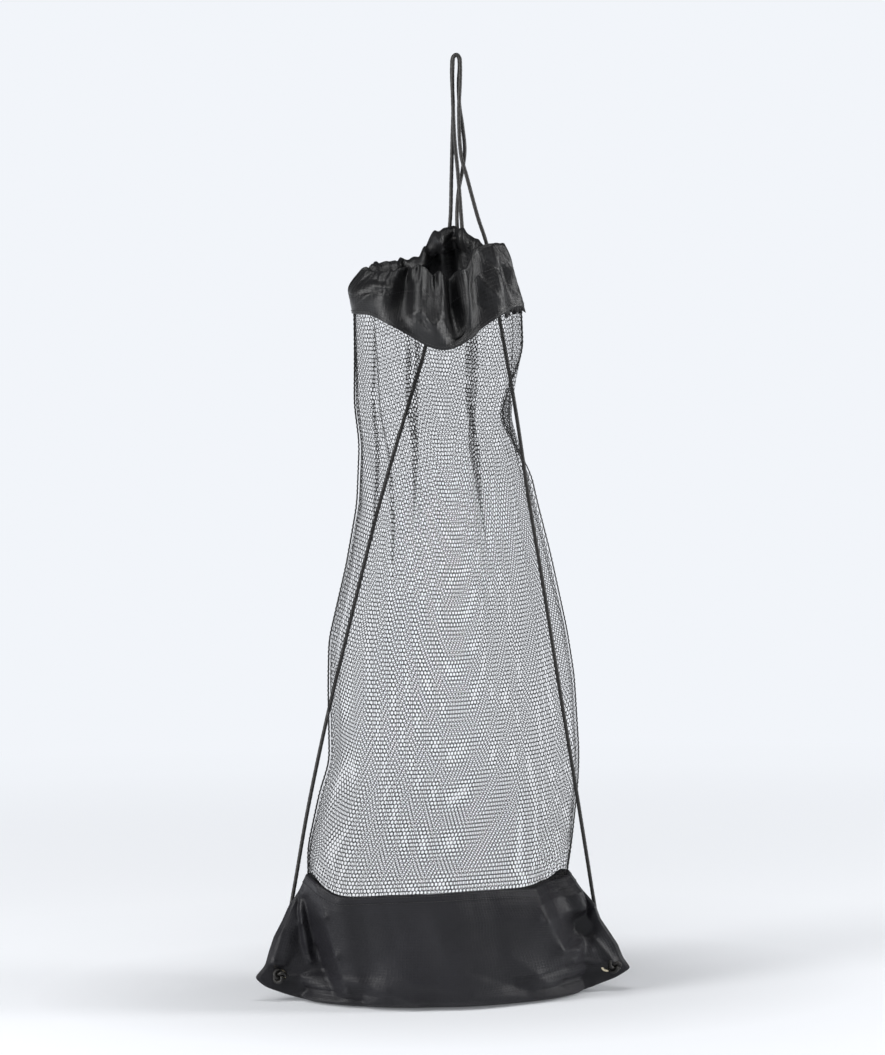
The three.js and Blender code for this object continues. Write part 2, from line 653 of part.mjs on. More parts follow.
function knot(side) {
  const geometry = new THREE.TorusKnotGeometry(KNOT_RADIUS, KNOT_TUBE_RADIUS, KNOT_STEPS,
    KNOT_SIDES, ...KNOT_WINDINGS);
  geometry.deleteAttribute('normal');
  geometry.deleteAttribute('uv');
  geometry.rotateX(Math.PI / 2);
  const [x, , z] = eyeletPlace(side);
  const thickness = KNOT_RADIUS / 2 + KNOT_TUBE_RADIUS;
  const seat = TAB_HALF + FIT_GAP + EYELET_FLANGE_THICKNESS + FIT_GAP;
  geometry.translate(x + side * KNOT_SHIFT, -(seat + thickness), z);
  return mergeVertices(geometry, MERGE_DISTANCE);
}

// The whole bag, moved so that the hanging point is the origin

const bag = new THREE.Group();
bag.add(
  piece('base_panel', basePanel(), FABRIC),
  piece('mesh_front', netPanel('front'), NET),
  piece('mesh_back', netPanel('back'), NET),
  piece('collar', collar(), FABRIC),
  piece('channel_cord', channelCord(), CORD),
  piece('drawcord_left', tubeAlong(LEFT_CORD_POINTS), CORD),
  piece('drawcord_right', tubeAlong(RIGHT_CORD_POINTS), CORD),
  piece('eyelet_left', eyelet(-1), METAL),
  piece('eyelet_right', eyelet(1), METAL),
  piece('knot_left', knot(-1), CORD),
  piece('knot_right', knot(1), CORD),
);
bag.position.set(-HANG_POINT[0], -HANG_POINT[1], -HANG_POINT[2]);

const model = new THREE.Group();
model.add(bag);

export default model;
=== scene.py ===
import math

import bmesh
import bpy
import numpy as np
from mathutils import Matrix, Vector


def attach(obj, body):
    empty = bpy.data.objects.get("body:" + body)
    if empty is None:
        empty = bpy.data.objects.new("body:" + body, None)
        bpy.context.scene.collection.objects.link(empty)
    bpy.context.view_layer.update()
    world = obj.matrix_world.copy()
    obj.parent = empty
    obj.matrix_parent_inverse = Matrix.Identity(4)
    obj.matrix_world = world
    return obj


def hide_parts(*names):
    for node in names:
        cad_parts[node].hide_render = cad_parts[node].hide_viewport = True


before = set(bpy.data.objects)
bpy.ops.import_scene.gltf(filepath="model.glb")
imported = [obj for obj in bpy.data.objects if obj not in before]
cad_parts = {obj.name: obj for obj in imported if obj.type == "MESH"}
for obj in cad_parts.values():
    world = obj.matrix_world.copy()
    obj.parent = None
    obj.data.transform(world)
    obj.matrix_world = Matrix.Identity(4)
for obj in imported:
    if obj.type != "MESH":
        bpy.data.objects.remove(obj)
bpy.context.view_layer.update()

# A mesh drawstring bag hung by its cord. Lengths are in metres, in the part's frame: the origin is
# the hanging point, +Z is up and the front faces -Y. Most tables hold shares of the named sizes.
# A level is 0 at the floor, 1 at the foot's hem, 2 at the collar's hem and 3 at the collar's rim.

# Sizes
BASE_WIDTH = 0.402
BODY_DEPTH = 0.160
BASE_HEIGHT = 0.136
NET_HEIGHT = 0.589
COLLAR_HEIGHT = 0.066
RIM_WIDTH = 0.145
RIM_DEPTH = 0.100
CORNER_TAB = 0.046
TAB_HALF = 0.002
BASE_WALL = 0.0015
COLLAR_WALL = 0.002
NET_INSET = 0.0023
SEAM_LAP = 0.010
FOLD_DEPTH = 0.010
CORD_RADIUS = 0.002
CHANNEL_WIDTH = 0.008
CHANNEL_DROP = 0.024
CORD_DROP = 0.012
EXIT_ANGLE = 61
EXIT_HALF_ANGLE = 8
EXIT_WIDTH = 0.022
EXIT_HEIGHT = 0.009
EXIT_RECESS = 0.003
EYELET_BORE = 0.007
EYELET_FLANGE = 0.014
EYELET_INSET = 0.0265
EYELET_HEIGHT = 0.027
HANG_POINT = np.array([0.0195, 0.048, 0.987])
HALF_WIDTH = BASE_WIDTH / 2
HALF_DEPTH = BODY_DEPTH / 2
SIDE_ROUNDING = 0.2
EVEN_LEAN = 0.65
TAB_BLEND = 0.25
SOFT_CONTACT = 0.0012
CREASE_TIP = 0.35
SKIN_STEP = math.radians(0.5)

# The net's knit
NET_COLUMNS = 88
NET_ROWS = 176
STRAND_DEPTH = 0.00035
HOLE_SHARE = 0.84

# rise, left, right, front, back, seam_left, seam_right, thin, lens, tab
BASE_SECTIONS = np.array([
    [0.000, 0.726, 0.726, 0.72, 0.72, 0.00, 0.00, 0.00, 1.30, 0.00],
    [0.022, 0.786, 0.776, 0.82, 0.82, 0.00, 0.00, 0.00, 1.30, 0.10],
    [0.059, 0.856, 0.836, 0.89, 0.89, 0.00, 0.00, 0.00, 1.35, 0.40],
    [0.110, 0.945, 0.925, 0.93, 0.92, 0.00, 0.00, 0.00, 1.40, 0.80],
    [0.184, 1.000, 1.000, 0.95, 0.93, 0.00, 0.00, 0.00, 1.40, 1.00],
    [0.279, 0.945, 0.958, 0.96, 0.93, 0.00, 0.00, 0.00, 1.40, 0.95],
    [0.397, 0.923, 0.928, 0.97, 0.93, 0.00, 0.00, 0.00, 1.35, 0.80],
    [0.507, 0.898, 0.883, 0.97, 0.92, 0.00, 0.00, 0.00, 1.25, 0.60],
    [0.625, 0.856, 0.834, 0.97, 0.91, 0.00, 0.00, 0.00, 1.15, 0.40],
    [0.743, 0.821, 0.808, 0.97, 0.90, 0.00, 0.00, 0.02, 1.05, 0.20],
    [0.868, 0.766, 0.741, 0.97, 0.89, -0.02, 0.12, 0.06, 0.95, 0.00],
    [1.000, 0.726, 0.687, 0.96, 0.87, -0.05, 0.34, 0.12, 0.92, 0.00],
])
NET_SECTIONS = np.array([
    [0.000, 0.726, 0.687, 0.96, 0.87, -0.05, 0.34, 0.12, 0.92, 0.00],
    [0.048, 0.729, 0.718, 0.97, 0.85, -0.07, 0.46, 0.25, 0.95, 0.00],
    [0.151, 0.667, 0.762, 0.97, 0.80, -0.12, 0.62, 0.42, 0.97, 0.00],
    [0.204, 0.617, 0.772, 0.96, 0.78, -0.14, 0.69, 0.54, 1.00, 0.00],
    [0.341, 0.623, 0.749, 0.95, 0.75, -0.16, 0.76, 0.65, 1.00, 0.00],
    [0.423, 0.618, 0.710, 0.93, 0.74, -0.16, 0.78, 0.65, 1.00, 0.00],
    [0.555, 0.527, 0.622, 0.90, 0.72, -0.15, 0.77, 0.62, 1.00, 0.00],
    [0.662, 0.473, 0.537, 0.86, 0.70, -0.13, 0.74, 0.58, 1.00, 0.00],
    [0.771, 0.463, 0.465, 0.83, 0.68, -0.11, 0.70, 0.54, 1.00, 0.00],
    [0.806, 0.477, 0.425, 0.83, 0.68, -0.10, 0.40, 0.40, 1.00, 0.00],
    [0.840, 0.491, 0.418, 0.82, 0.67, -0.09, 0.14, 0.28, 1.00, 0.00],
    [0.930, 0.490, 0.414, 0.81, 0.66, -0.07, -0.02, 0.15, 1.02, 0.00],
    [1.000, 0.492, 0.402, 0.80, 0.65, -0.05, -0.06, 0.10, 1.05, 0.00],
])
RIM_MIDDLE = (-0.081, -0.02)

# angle in degrees, height as a share of COLLAR_HEIGHT over the side hem
RIM_HEIGHTS = np.array([
    [0, 0.98], [30, 0.97], [45, 1.09], [57, 1.24], [67, 1.28], [82, 1.22], [92, 0.98], [100, 0.80],
    [110, 0.77], [131, 0.73], [150, 0.70], [180, 0.61], [205, 0.60], [225, 0.63], [241, 0.68],
    [256, 0.71], [265, 0.56], [271, 0.62], [280, 0.48], [292, 0.66], [298, 0.83], [306, 0.97],
    [320, 1.04], [345, 1.04], [360, 0.98],
])

# Heights of the hems as shares, at the right, left, front and back, and how long a side stays high
BASE_HEM = (0.92, 0.99, 0.92, 0.70, 6)
COLLAR_HEM = (0.06, -0.04, -0.58, 0.18, 1)

# angle, spread, depth as a share of FOLD_DEPTH, and the levels where it starts, peaks and stops
FOLDS = [
    (212, 7, 0.5, 1.25, 1.95, 2.6), (232, 6, -0.25, 1.4, 2, 3.2), (241, 6, 0.7, 2.2, 3, 3.8),
    (254, 7, 0.5, 1.35, 2, 2.8), (265, 6, 0.45, 2.4, 3, 3.8), (282, 6, 0.8, 1.8, 2.9, 3.8),
    (298, 8, 0.6, 1.2, 2, 3.2), (313, 6, 0.6, 2.1, 2.9, 3.8), (332, 8, 0.35, 1.4, 2, 3),
    (350, 7, -0.3, 1.6, 2.1, 3.2), (20, 7, 0.3, 2, 2.6, 3.6), (38, 6, 0.45, 1.5, 2.4, 3.6),
    (95, 6, 0.7, 1.5, 2.9, 3.8), (112, 6, 0.4, 2.2, 3, 3.8), (128, 7, 0.45, 1.4, 2, 3),
    (150, 8, 0.4, 1.5, 2.5, 3.6), (175, 8, 0.35, 1.5, 2, 2.7), (190, 24, -0.5, 1.95, 2.55, 3.1),
    (0, 9, 1.9, 1.68, 1.81, 1.94),
]

# The collar's own folds and gathers: angle, spread, depth, start, peak, stop
GATHERS = [
    (198, 7, -0.35, 2, 2.45, 3), (212, 6, -0.35, 2, 2.5, 2.95), (240, 6, 1.35, 1.98, 2.55, 3.8),
    (228, 3, -0.4, 2.2, 2.65, 3), (250, 3.6, -0.45, 1.98, 2.45, 2.95), (262, 8, -1.1, 1.96, 2.28, 2.95),
    (259, 2.2, 0.35, 2.4, 2.75, 3.6), (273, 3, -0.3, 2.3, 2.7, 3.2), (281, 5, 1.6, 1.98, 2.4, 3.8),
    (291, 3, -0.8, 2, 2.6, 3.8), (303, 7, 0.45, 2, 2.6, 3.8), (318, 7, -0.6, 1.98, 2.5, 3.8),
    (331, 4, 0.45, 2, 2.7, 3.8), (343, 6, -0.4, 1.98, 2.6, 3.7), (8, 4, -0.35, 1.98, 2.6, 3.8),
    (24, 4, 0.4, 2, 2.7, 3.8), (54, 3.6, 0.55, 2, 2.9, 3.8), (68, 3, -0.7, 2.1, 2.8, 3.8),
    (78, 3.2, 0.95, 2, 2.8, 3.8), (88, 3, -0.7, 2.2, 2.9, 3.8), (100, 3.4, 0.7, 2, 2.7, 3.8),
    (112, 3.2, -0.5, 2, 2.8, 3.8), (124, 3.6, 0.65, 2, 2.8, 3.8), (140, 4, -0.45, 2, 2.7, 3.8),
    (158, 3.4, 0.5, 2, 2.8, 3.8), (172, 3.4, -0.3, 2, 2.6, 3.6), (234, 1.5, -0.45, 2.74, 3, 3.9),
    (240, 1.5, 0.6, 2.7, 3, 3.9), (246, 1.4, -0.55, 2.72, 3, 3.9), (252, 1.6, 0.55, 2.7, 3, 3.9),
    (267, 1.8, 0.6, 2.66, 3, 3.9), (287, 1.8, 0.55, 2.7, 3, 3.9), (296, 1.8, -0.4, 2.66, 3, 3.9),
    (225, 1.8, 0.35, 2.76, 3, 3.9),
]
# Slanting creases of the collar: both ends' angle and level, spread, depth
SLANTS = [
    (196, 2.1, 222, 2.62, 0.05, -0.6), (204, 2.5, 232, 2.66, 0.03, 0.7),
    (210, 2.86, 230, 2.76, 0.024, 0.9), (212, 2.74, 232, 2.66, 0.02, -0.45),
    (246, 2.3, 256, 2.44, 0.022, -0.6), (256, 2.44, 262, 2.3, 0.022, -0.7),
    (262, 2.3, 268, 2.42, 0.022, -0.6), (268, 2.42, 276, 2.22, 0.022, -0.5),
    (254, 2.34, 262, 2.2, 0.022, 0.55), (266, 2.56, 277, 2.4, 0.024, -0.45),
    (300, 2.78, 316, 2.2, 0.034, -0.65), (310, 2.92, 332, 2.35, 0.034, 0.7),
    (320, 2.96, 345, 2.45, 0.034, -0.75), (296, 2.45, 306, 2.15, 0.024, 0.45),
    (336, 2.86, 352, 2.3, 0.034, 0.55), (328, 2.4, 350, 2.1, 0.03, -0.4),
    (66, 2.92, 84, 2.66, 0.024, -0.7), (84, 2.95, 70, 2.6, 0.02, 0.7), (92, 2.8, 78, 2.5, 0.02, -0.6),
    (100, 2.9, 90, 2.5, 0.02, 0.5), (120, 2.6, 140, 2.3, 0.04, 0.4), (150, 2.7, 130, 2.35, 0.04, -0.4),
    (30, 2.6, 50, 2.3, 0.04, 0.4), (60, 2.4, 40, 2.2, 0.04, -0.4),
]
SLANT_STRENGTH = 0.35
SLANT_DEGREES = 60
SLANT_FADE = 4
SLANT_END = 0.3
CASING_SWELL = 0.0012
CASING_CREASE = 0.0002
CREASE_WIDTH = 0.0016
RIM_RUFFLE = 0.0011
RUFFLE_REACH = 0.008
SMOOTH_SHARE = 0.25
LEFT_PUFF = 0.8
SMOOTH_SIDE = math.radians(332)

# Pleats of the net, where it doubles over itself: the angle at the collar's hem and at the foot,
# the spread at each, the levels between which it lies, and over how many levels it fades in
PLEATS = [
    (214, 241, 1.5, 22, 1.2, 1.97, 0.6), (295, 289, 12, 8, 1.3, 2.03, 0.55),
    (252, 249, 9, 1.5, 1.76, 2.03, 0.12), (253, 244, 1.4, 1.4, 1.56, 1.92, 0.06),
    (62, 66, 10, 4, 1.5, 2.02, 0.3), (104, 114, 8, 5, 1.45, 2.02, 0.3), (136, 150, 3, 14, 1.4, 1.98, 0.3),
    (338, 334, 3, 5, 1.6, 1.98, 0.2),
]
PLEAT_TURN = 1.8
PLEAT_DEPTH = 0.0035
PLEAT_END = 0.04

# Dents and ridges of the foot: side (-1 front), x1, z1, x2, z2 as shares of HALF_WIDTH and
# BASE_HEIGHT, spread and depth as shares of FOLD_DEPTH, outwards positive
BASE_DENTS = [
    (-1, 0.55, 0.92, 0.7, 0.52, 1.15, -2.1), (-1, 0.82, 0.8, 0.85, 0.5, 0.7, 0.5),
    (-1, -0.6, 0.85, -0.52, 0.2, 1, 0.8), (-1, -0.72, 0.82, -0.64, 0.25, 0.85, -1.1),
    (-1, -0.8, 0.7, -0.84, 0.4, 0.8, 0.55), (-1, -0.8, 0.26, -0.46, 0.13, 0.6, -0.6),
    (-1, -0.2, 0.7, -0.1, 0.2, 1.6, -0.45), (-1, 0.22, 0.8, 0.28, 0.3, 1.4, -0.5),
    (-1, 0.4, 0.16, -0.3, 0.1, 0.6, -0.3), (1, 0.6, 0.85, 0.72, 0.45, 1.2, -1.1),
    (1, -0.66, 0.9, -0.7, 0.45, 1.2, -1.1), (1, 0.05, 0.6, 0.12, 0.25, 1.8, -0.6),
]
# Sharper creases of the foot, with the same columns
BASE_CREASES = [
    (-1, 0.43, 1, 0.5, 0.66, 0.85, 0.8), (-1, 0.5, 0.66, 0.6, 0.4, 0.85, 0.8),
    (-1, 0.6, 0.4, 0.7, 0.36, 0.6, 0.9), (-1, 0.67, 0.98, 0.79, 0.68, 0.75, 0.6),
    (-1, 0.79, 0.68, 0.74, 0.4, 0.75, 0.6), (-1, 0.52, 0.92, 0.6, 0.56, 0.6, -0.5),
    (-1, -0.7, 0.98, -0.66, 0.72, 0.4, 0.85), (-1, -0.66, 0.72, -0.6, 0.4, 0.4, 0.85),
    (-1, -0.6, 0.4, -0.54, 0.12, 0.45, 0.7), (-1, -0.74, 0.8, -0.68, 0.4, 0.5, -0.8),
    (-1, -0.68, 0.4, -0.6, 0.1, 0.45, -0.55), (-1, -0.79, 0.9, -0.76, 0.62, 0.4, 0.45),
    (-1, -0.76, 0.62, -0.71, 0.3, 0.35, 0.35), (-1, -0.96, 0.24, -0.74, 0.08, 0.4, -0.6),
    (-1, -0.74, 0.08, -0.46, 0.05, 0.45, -0.6), (-1, -0.86, 0.55, -0.9, 0.32, 0.4, 0.35),
    (-1, -0.82, 0.19, -0.58, 0.2, 0.4, 0.5), (-1, -0.92, 0.3, -0.78, 0.28, 0.4, 0.35),
    (-1, 0.9, 0.21, 0.68, 0.27, 0.45, 0.45), (-1, 0.9, 0.24, 0.8, 0.42, 0.4, 0.4),
    (-1, 0.86, 0.13, 0.62, 0.12, 0.45, -0.5), (-1, 0.78, 0.32, 0.46, 0.22, 0.7, 0.45),
    (-1, 0.62, 0.24, 0.34, 0.18, 0.6, -0.4), (-1, -0.36, 0.88, -0.3, 0.5, 1.1, -0.2),
    (-1, -0.14, 0.86, -0.04, 0.45, 1.1, 0.18), (-1, 0.08, 0.88, 0.14, 0.55, 1.1, -0.19),
    (-1, 0.24, 0.86, 0.3, 0.5, 1.1, 0.19), (-1, -0.46, 0.78, -0.4, 0.3, 1.1, -0.18),
    (-1, 0.3, 0.4, 0.52, 0.14, 0.8, 0.35), (-1, -0.34, 0.26, 0.1, 0.12, 0.9, 0.3),
    (-1, 0.1, 0.3, 0.4, 0.1, 0.8, -0.3), (-1, -0.48, 0.2, -0.2, 0.06, 0.6, 0.35),
    (1, 0.52, 0.92, 0.66, 0.5, 0.45, 0.6), (1, -0.58, 0.9, -0.64, 0.45, 0.45, 0.6),
    (1, 0.1, 0.68, 0.16, 0.35, 0.6, -0.4), (1, -0.25, 0.66, -0.2, 0.3, 0.6, 0.4),
    (1, 0.78, 0.3, 0.45, 0.08, 0.5, -0.45), (1, -0.8, 0.3, -0.45, 0.08, 0.5, -0.45),
    (1, 0.35, 0.64, 0.42, 0.25, 0.6, 0.4), (1, -0.44, 0.6, -0.36, 0.22, 0.6, -0.4),
]

# The cord's free stretches over the floor of the bag, in thousandths of a metre
LEFT_CORD_POINTS = [
    (14.6, 39.3, 797.3), (17.2, 38.8, 797.3), (20, 41, 798), (21.3, 45.5, 799.5), (21.6, 50, 803.5),
    (21.5, 54, 811), (21.8, 56, 828), (23.5, 56, 848), (27.5, 54.8, 870), (29.5, 53.7, 890),
    (27, 52.5, 914), (23.5, 51.5, 937), (22.5, 50.7, 960), (23.4, 50.4, 977), (22.5, 50.5, 986.2),
    (19.5, 50.7, 989), (16.5, 51, 986.2), (15.6, 51.6, 977), (16, 53, 960), (17.5, 55.5, 935),
    (17, 57.5, 905), (16, 58, 860), (14.5, 57, 815), (8, 57.5, 765), (-12, 58, 681), (-26, 57, 635),
    (-45, 52, 575), (-63, 47.5, 515), (-79, 43, 455), (-97, 38.5, 385), (-121, 32, 290),
    (-142, 25.5, 195), (-156, 19.5, 120), (-166, 15.5, 70), (-172.5, 12, 42), (-174.3, 8.5, 31),
    (-174.5, 5, 27.5), (-174.5, 1, 27), (-174.5, -3.2, 27),
]
RIGHT_CORD_POINTS = [
    (30.7, 33.1, 792.6), (28.4, 34.5, 793.6), (26.4, 38, 795), (26, 42.5, 796.6), (26.3, 47, 801),
    (26.1, 49.5, 809), (24.6, 50.2, 830), (21.5, 49.6, 868), (18, 48, 900), (16.3, 46.8, 930),
    (15.4, 46.2, 960), (15.6, 46, 977), (16.5, 45.9, 986.2), (19.5, 45.8, 989), (22.5, 45.5, 986.2),
    (23.4, 45, 977), (23, 43.5, 960), (21.5, 41.5, 930), (23.5, 39.5, 885), (29.5, 38.5, 862),
    (41, 37.5, 820), (50.6, 36.4, 790), (61.7, 34.3, 725), (80.8, 30.8, 615), (94, 27, 524),
    (109.2, 23.5, 432), (126, 20, 325), (144.5, 16.5, 211), (155, 14.5, 145), (163, 13, 94),
    (169.5, 11.5, 55), (173.5, 9.2, 34), (174.5, 6.2, 28), (174.5, 2, 27), (174.5, -3.2, 27),
]

# Sums on arrays

def mix(a, b, share):
    return a + (b - a) * share


def smooth(share):
    s = np.clip(share, 0, 1)
    return s * s * (3 - 2 * s)


def soft_columns(table, reach=0.035, count=401):
    """The table read along its first column, with its corners rounded over a reach."""
    rises = np.linspace(0, 1, count)
    half = int(reach * count)
    weights = np.hanning(2 * half + 3)[1:-1]
    weights /= weights.sum()
    columns = []
    for i in range(1, table.shape[1]):
        line = np.interp(rises, table[:, 0], table[:, i])
        before = 2 * line[0] - line[half:0:-1]
        after = 2 * line[-1] - line[-2:-half - 2:-1]
        columns.append(np.convolve(np.concatenate([before, line, after]), weights, "valid"))
    return rises, columns


BASE_CURVES = soft_columns(BASE_SECTIONS)
NET_CURVES = soft_columns(NET_SECTIONS)
BASE_CURVES[1][-1][:] = np.interp(BASE_CURVES[0], BASE_SECTIONS[:, 0], BASE_SECTIONS[:, 9])


def section_at(level):
    """Nine arrays: left, right, front, back, seam_left, seam_right, thin, lens and tab."""
    low = np.clip(level, 0, 1)
    high = np.clip(level - 1, 0, 1)
    above = level > 1
    return [np.where(above, np.interp(high, NET_CURVES[0], net),
                     np.interp(low, BASE_CURVES[0], base))
            for base, net in zip(BASE_CURVES[1], NET_CURVES[1])]


def rim_height(angle):
    degrees = np.degrees(angle) % 360
    index = np.clip(np.searchsorted(RIM_HEIGHTS[:, 0], degrees, "right") - 1, 0, len(RIM_HEIGHTS) - 2)
    a = RIM_HEIGHTS[index]
    b = RIM_HEIGHTS[index + 1]
    share = smooth((degrees - a[..., 0]) / (b[..., 0] - a[..., 0]))
    return BASE_HEIGHT + NET_HEIGHT + COLLAR_HEIGHT * mix(a[..., 1], b[..., 1], share)


def hem_share(hem, angle):
    right, left, front, back, bend = hem
    side = mix(left, right, (1 + np.cos(angle)) / 2)
    face = mix(front, back, (1 + np.sin(angle)) / 2)
    return mix(face, side, smooth(np.abs(np.cos(angle)) ** bend))


def height_at(angle, level):
    base = BASE_HEIGHT * hem_share(BASE_HEM, angle)
    collar = BASE_HEIGHT + NET_HEIGHT + COLLAR_HEIGHT * hem_share(COLLAR_HEM, angle)
    low = base * level
    middle = mix(base, collar, level - 1)
    high = mix(collar, rim_height(angle), level - 2)
    return np.where(level <= 1, low, np.where(level <= 2, middle, high))


def level_below_rim(angle, drop):
    """The level of a point that lies a drop below the collar's rim."""
    return 3 - drop / (height_at(angle, 3.0) - height_at(angle, 2.0))


def dent_at(rows, side, x, z, sharp=False):
    """Dents with round profiles, or creases that come to a narrow ridge."""
    total = np.zeros_like(x)
    for face, x1, z1, x2, z2, spread, depth in rows:
        start = np.array([x1 * HALF_WIDTH, z1 * BASE_HEIGHT])
        line = np.array([x2 * HALF_WIDTH, z2 * BASE_HEIGHT]) - start
        share = np.clip(((x - start[0]) * line[0] + (z - start[1]) * line[1]) / line.dot(line), 0, 1)
        away = np.hypot(x - start[0] - share * line[0], z - start[1] - share * line[1])
        apart = away / (spread * FOLD_DEPTH)
        profile = np.exp(CREASE_TIP - np.hypot(apart, CREASE_TIP)) if sharp else np.exp(-0.5 * apart ** 2)
        total += np.where(side * face > 0, depth * FOLD_DEPTH * profile, 0)
    return total


def half_depth(section, side, across, half_width):
    left, right, front, back, seam_left, seam_right, thin, lens, tab = section
    seam = (seam_left + seam_right) / 2 * HALF_DEPTH
    is_front = side < 0
    reach = np.where(is_front, front * HALF_DEPTH + seam, back * HALF_DEPTH - seam)
    width = 1 - tab * CORNER_TAB / half_width
    inside = np.minimum(1, np.abs(across) / width)
    bulge = np.maximum(0, 1 - inside * inside) ** (lens / 2 + TAB_BLEND * tab)
    leaning = across * mix(EVEN_LEAN, 1, across)
    thinned = np.where(is_front, 1 - thin * leaning, 1)
    return TAB_HALF + (reach - TAB_HALF) * bulge * thinned


def soft_floor(value, floor):
    """The greater of two values, with a rounded change from one to the other."""
    return (value + floor + np.hypot(value - floor, SOFT_CONTACT * (floor > 0))) / 2


def skin_point(angle, level, creased):
    section = section_at(level)
    left, right, seam_left, seam_right = section[0], section[1], section[4], section[5]
    half_width = (left + right) / 2 * HALF_WIDTH
    across = np.cos(angle)
    side = np.sin(angle)
    x = (right - left) / 2 * HALF_WIDTH + half_width * across
    seam = mix(seam_left, seam_right, (1 + across) / 2) * HALF_DEPTH
    rounding = np.minimum(1, np.abs(side) / SIDE_ROUNDING)
    z = height_at(angle, level)
    dents = dent_at(BASE_DENTS, side, x, z)
    if creased:
        dents += dent_at(BASE_CREASES, side, x, z, sharp=True)
    depth = (half_depth(section, side, across, half_width) + dents) * rounding
    return x, seam + np.sign(side) * soft_floor(depth, TAB_HALF * rounding)


def ring_point(angle, level, creased=False):
    x, y = skin_point(angle, np.minimum(level, 2), creased)
    rim_x = RIM_WIDTH * (RIM_MIDDLE[0] + np.cos(angle) / 2)
    rim_y = RIM_DEPTH * (RIM_MIDDLE[1] + np.sin(angle) / 2)
    share = np.maximum(0, level - 2) ** (1 + LEFT_PUFF * smooth(-np.cos(angle)))
    return mix(x, rim_x, share), mix(y, rim_y, share)


def fold_at(rows, angle, level):
    total = np.zeros_like(angle)
    for middle, spread, depth, start, peak, stop in rows:
        turn = np.abs(np.degrees(angle) - middle) % 360
        away = np.minimum(turn, 360 - turn) / spread
        rising = smooth((level - start) / (peak - start))
        falling = smooth((stop - level) / (stop - peak))
        total += depth * FOLD_DEPTH * np.exp(-0.5 * away * away) * np.minimum(rising, falling)
    return total


def slant_at(rows, angle, level):
    """Creases that run aslant over the unrolled cloth, each with a crisp line."""
    total = np.zeros_like(angle)
    degrees = np.degrees(angle) % 360
    for angle1, level1, angle2, level2, spread, depth in rows:
        x, y = (degrees - angle1) / SLANT_DEGREES, level - level1
        line_x, line_y = (angle2 - angle1) / SLANT_DEGREES, level2 - level1
        share = np.clip((x * line_x + y * line_y) / (line_x ** 2 + line_y ** 2), 0, 1)
        away = np.hypot(x - share * line_x, y - share * line_y) / spread
        faded = smooth(share * SLANT_FADE) * smooth((1 - share) * SLANT_FADE)
        profile = np.exp(CREASE_TIP - np.hypot(away, CREASE_TIP))
        total += depth * SLANT_STRENGTH * FOLD_DEPTH * mix(SLANT_END, 1, faded) * profile
    return total


def cloth_point(angle, level, inset, gathers=(), creased=False):
    """Points of the cloth, an inset inside the outer skin, in the part's frame."""
    x, y = ring_point(angle, level, creased)
    ahead_x, ahead_y = ring_point(angle + SKIN_STEP, level)
    behind_x, behind_y = ring_point(angle - SKIN_STEP, level)
    tangent_x, tangent_y = ahead_x - behind_x, ahead_y - behind_y
    size = np.hypot(tangent_x, tangent_y)
    depth = inset + fold_at(FOLDS, angle, level) + fold_at(gathers, angle, level)
    if gathers:
        depth += slant_at(SLANTS, angle, level)
    points = np.stack([x - tangent_y / size * depth, y + tangent_x / size * depth,
                       height_at(angle, level)], axis=-1)
    return points - HANG_POINT


# Meshes

def mesh_object(name, points, faces, material, uvs=None):
    mesh = bpy.data.meshes.new(name)
    mesh.from_pydata(points.tolist(), [], faces)
    mesh.validate()
    mesh.shade_smooth()
    if uvs is not None:
        layer = mesh.uv_layers.new(name="cloth")
        layer.data.foreach_set("uv", uvs.ravel())
    mesh.materials.append(material)
    thing = bpy.data.objects.new(name, mesh)
    bpy.context.collection.objects.link(thing)
    return thing


def grid_faces(rows, columns, wrap_rows, wrap_columns):
    """Quads of a grid, and for each corner its row and column before wrapping."""
    i, j = np.meshgrid(np.arange(rows if wrap_rows else rows - 1),
                       np.arange(columns if wrap_columns else columns - 1), indexing="ij")
    i, j = i.ravel(), j.ravel()
    corner_rows = np.stack([i, i, i + 1, i + 1], axis=1)
    corner_columns = np.stack([j, j + 1, j + 1, j], axis=1)
    faces = (corner_rows % rows) * columns + corner_columns % columns
    return faces.tolist(), corner_rows, corner_columns


def lengths_along(points, axis):
    """The mean way from the first row or column of a grid to each next one, the wrap too."""
    first = points[:, :1] if axis else points[:1]
    steps = np.linalg.norm(np.diff(points, axis=axis, append=first), axis=2)
    return np.concatenate([[0], np.cumsum(steps.mean(axis=1 - axis))])


def grid_object(name, points, material, wrap_rows=False, wrap_columns=True):
    """A sheet from a grid of points, with its UV in metres along and up the cloth."""
    faces, corner_rows, corner_columns = grid_faces(*points.shape[:2], wrap_rows, wrap_columns)
    uvs = np.stack([lengths_along(points, 1)[corner_columns],
                    lengths_along(points, 0)[corner_rows]], axis=2)
    return mesh_object(name, points.reshape(-1, 3), faces, material, uvs)


def ride(thing, slot_name, *nodes):
    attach(thing, "root")
    if nodes:
        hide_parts(*nodes)


# Materials

def material_of(name, color, roughness):
    material = bpy.data.materials.new(name)
    material.use_nodes = True
    shader = material.node_tree.nodes["Principled BSDF"]
    shader.inputs["Base Color"].default_value = (*color, 1)
    shader.inputs["Roughness"].default_value = roughness
    return material, material.node_tree, shader


def node(tree, kind, **values):
    made = tree.nodes.new(kind)
    for key, value in values.items():
        if key in made.inputs:
            made.inputs[key].default_value = value
        else:
            setattr(made, key, value)
    return made


def math_node(tree, operation, first, second=0.0):
    made = node(tree, "ShaderNodeMath", operation=operation)
    for socket, value in zip(made.inputs, (first, second)):
        if isinstance(value, (int, float)):
            socket.default_value = value
        else:
            tree.links.new(value, socket)
    return made.outputs[0]


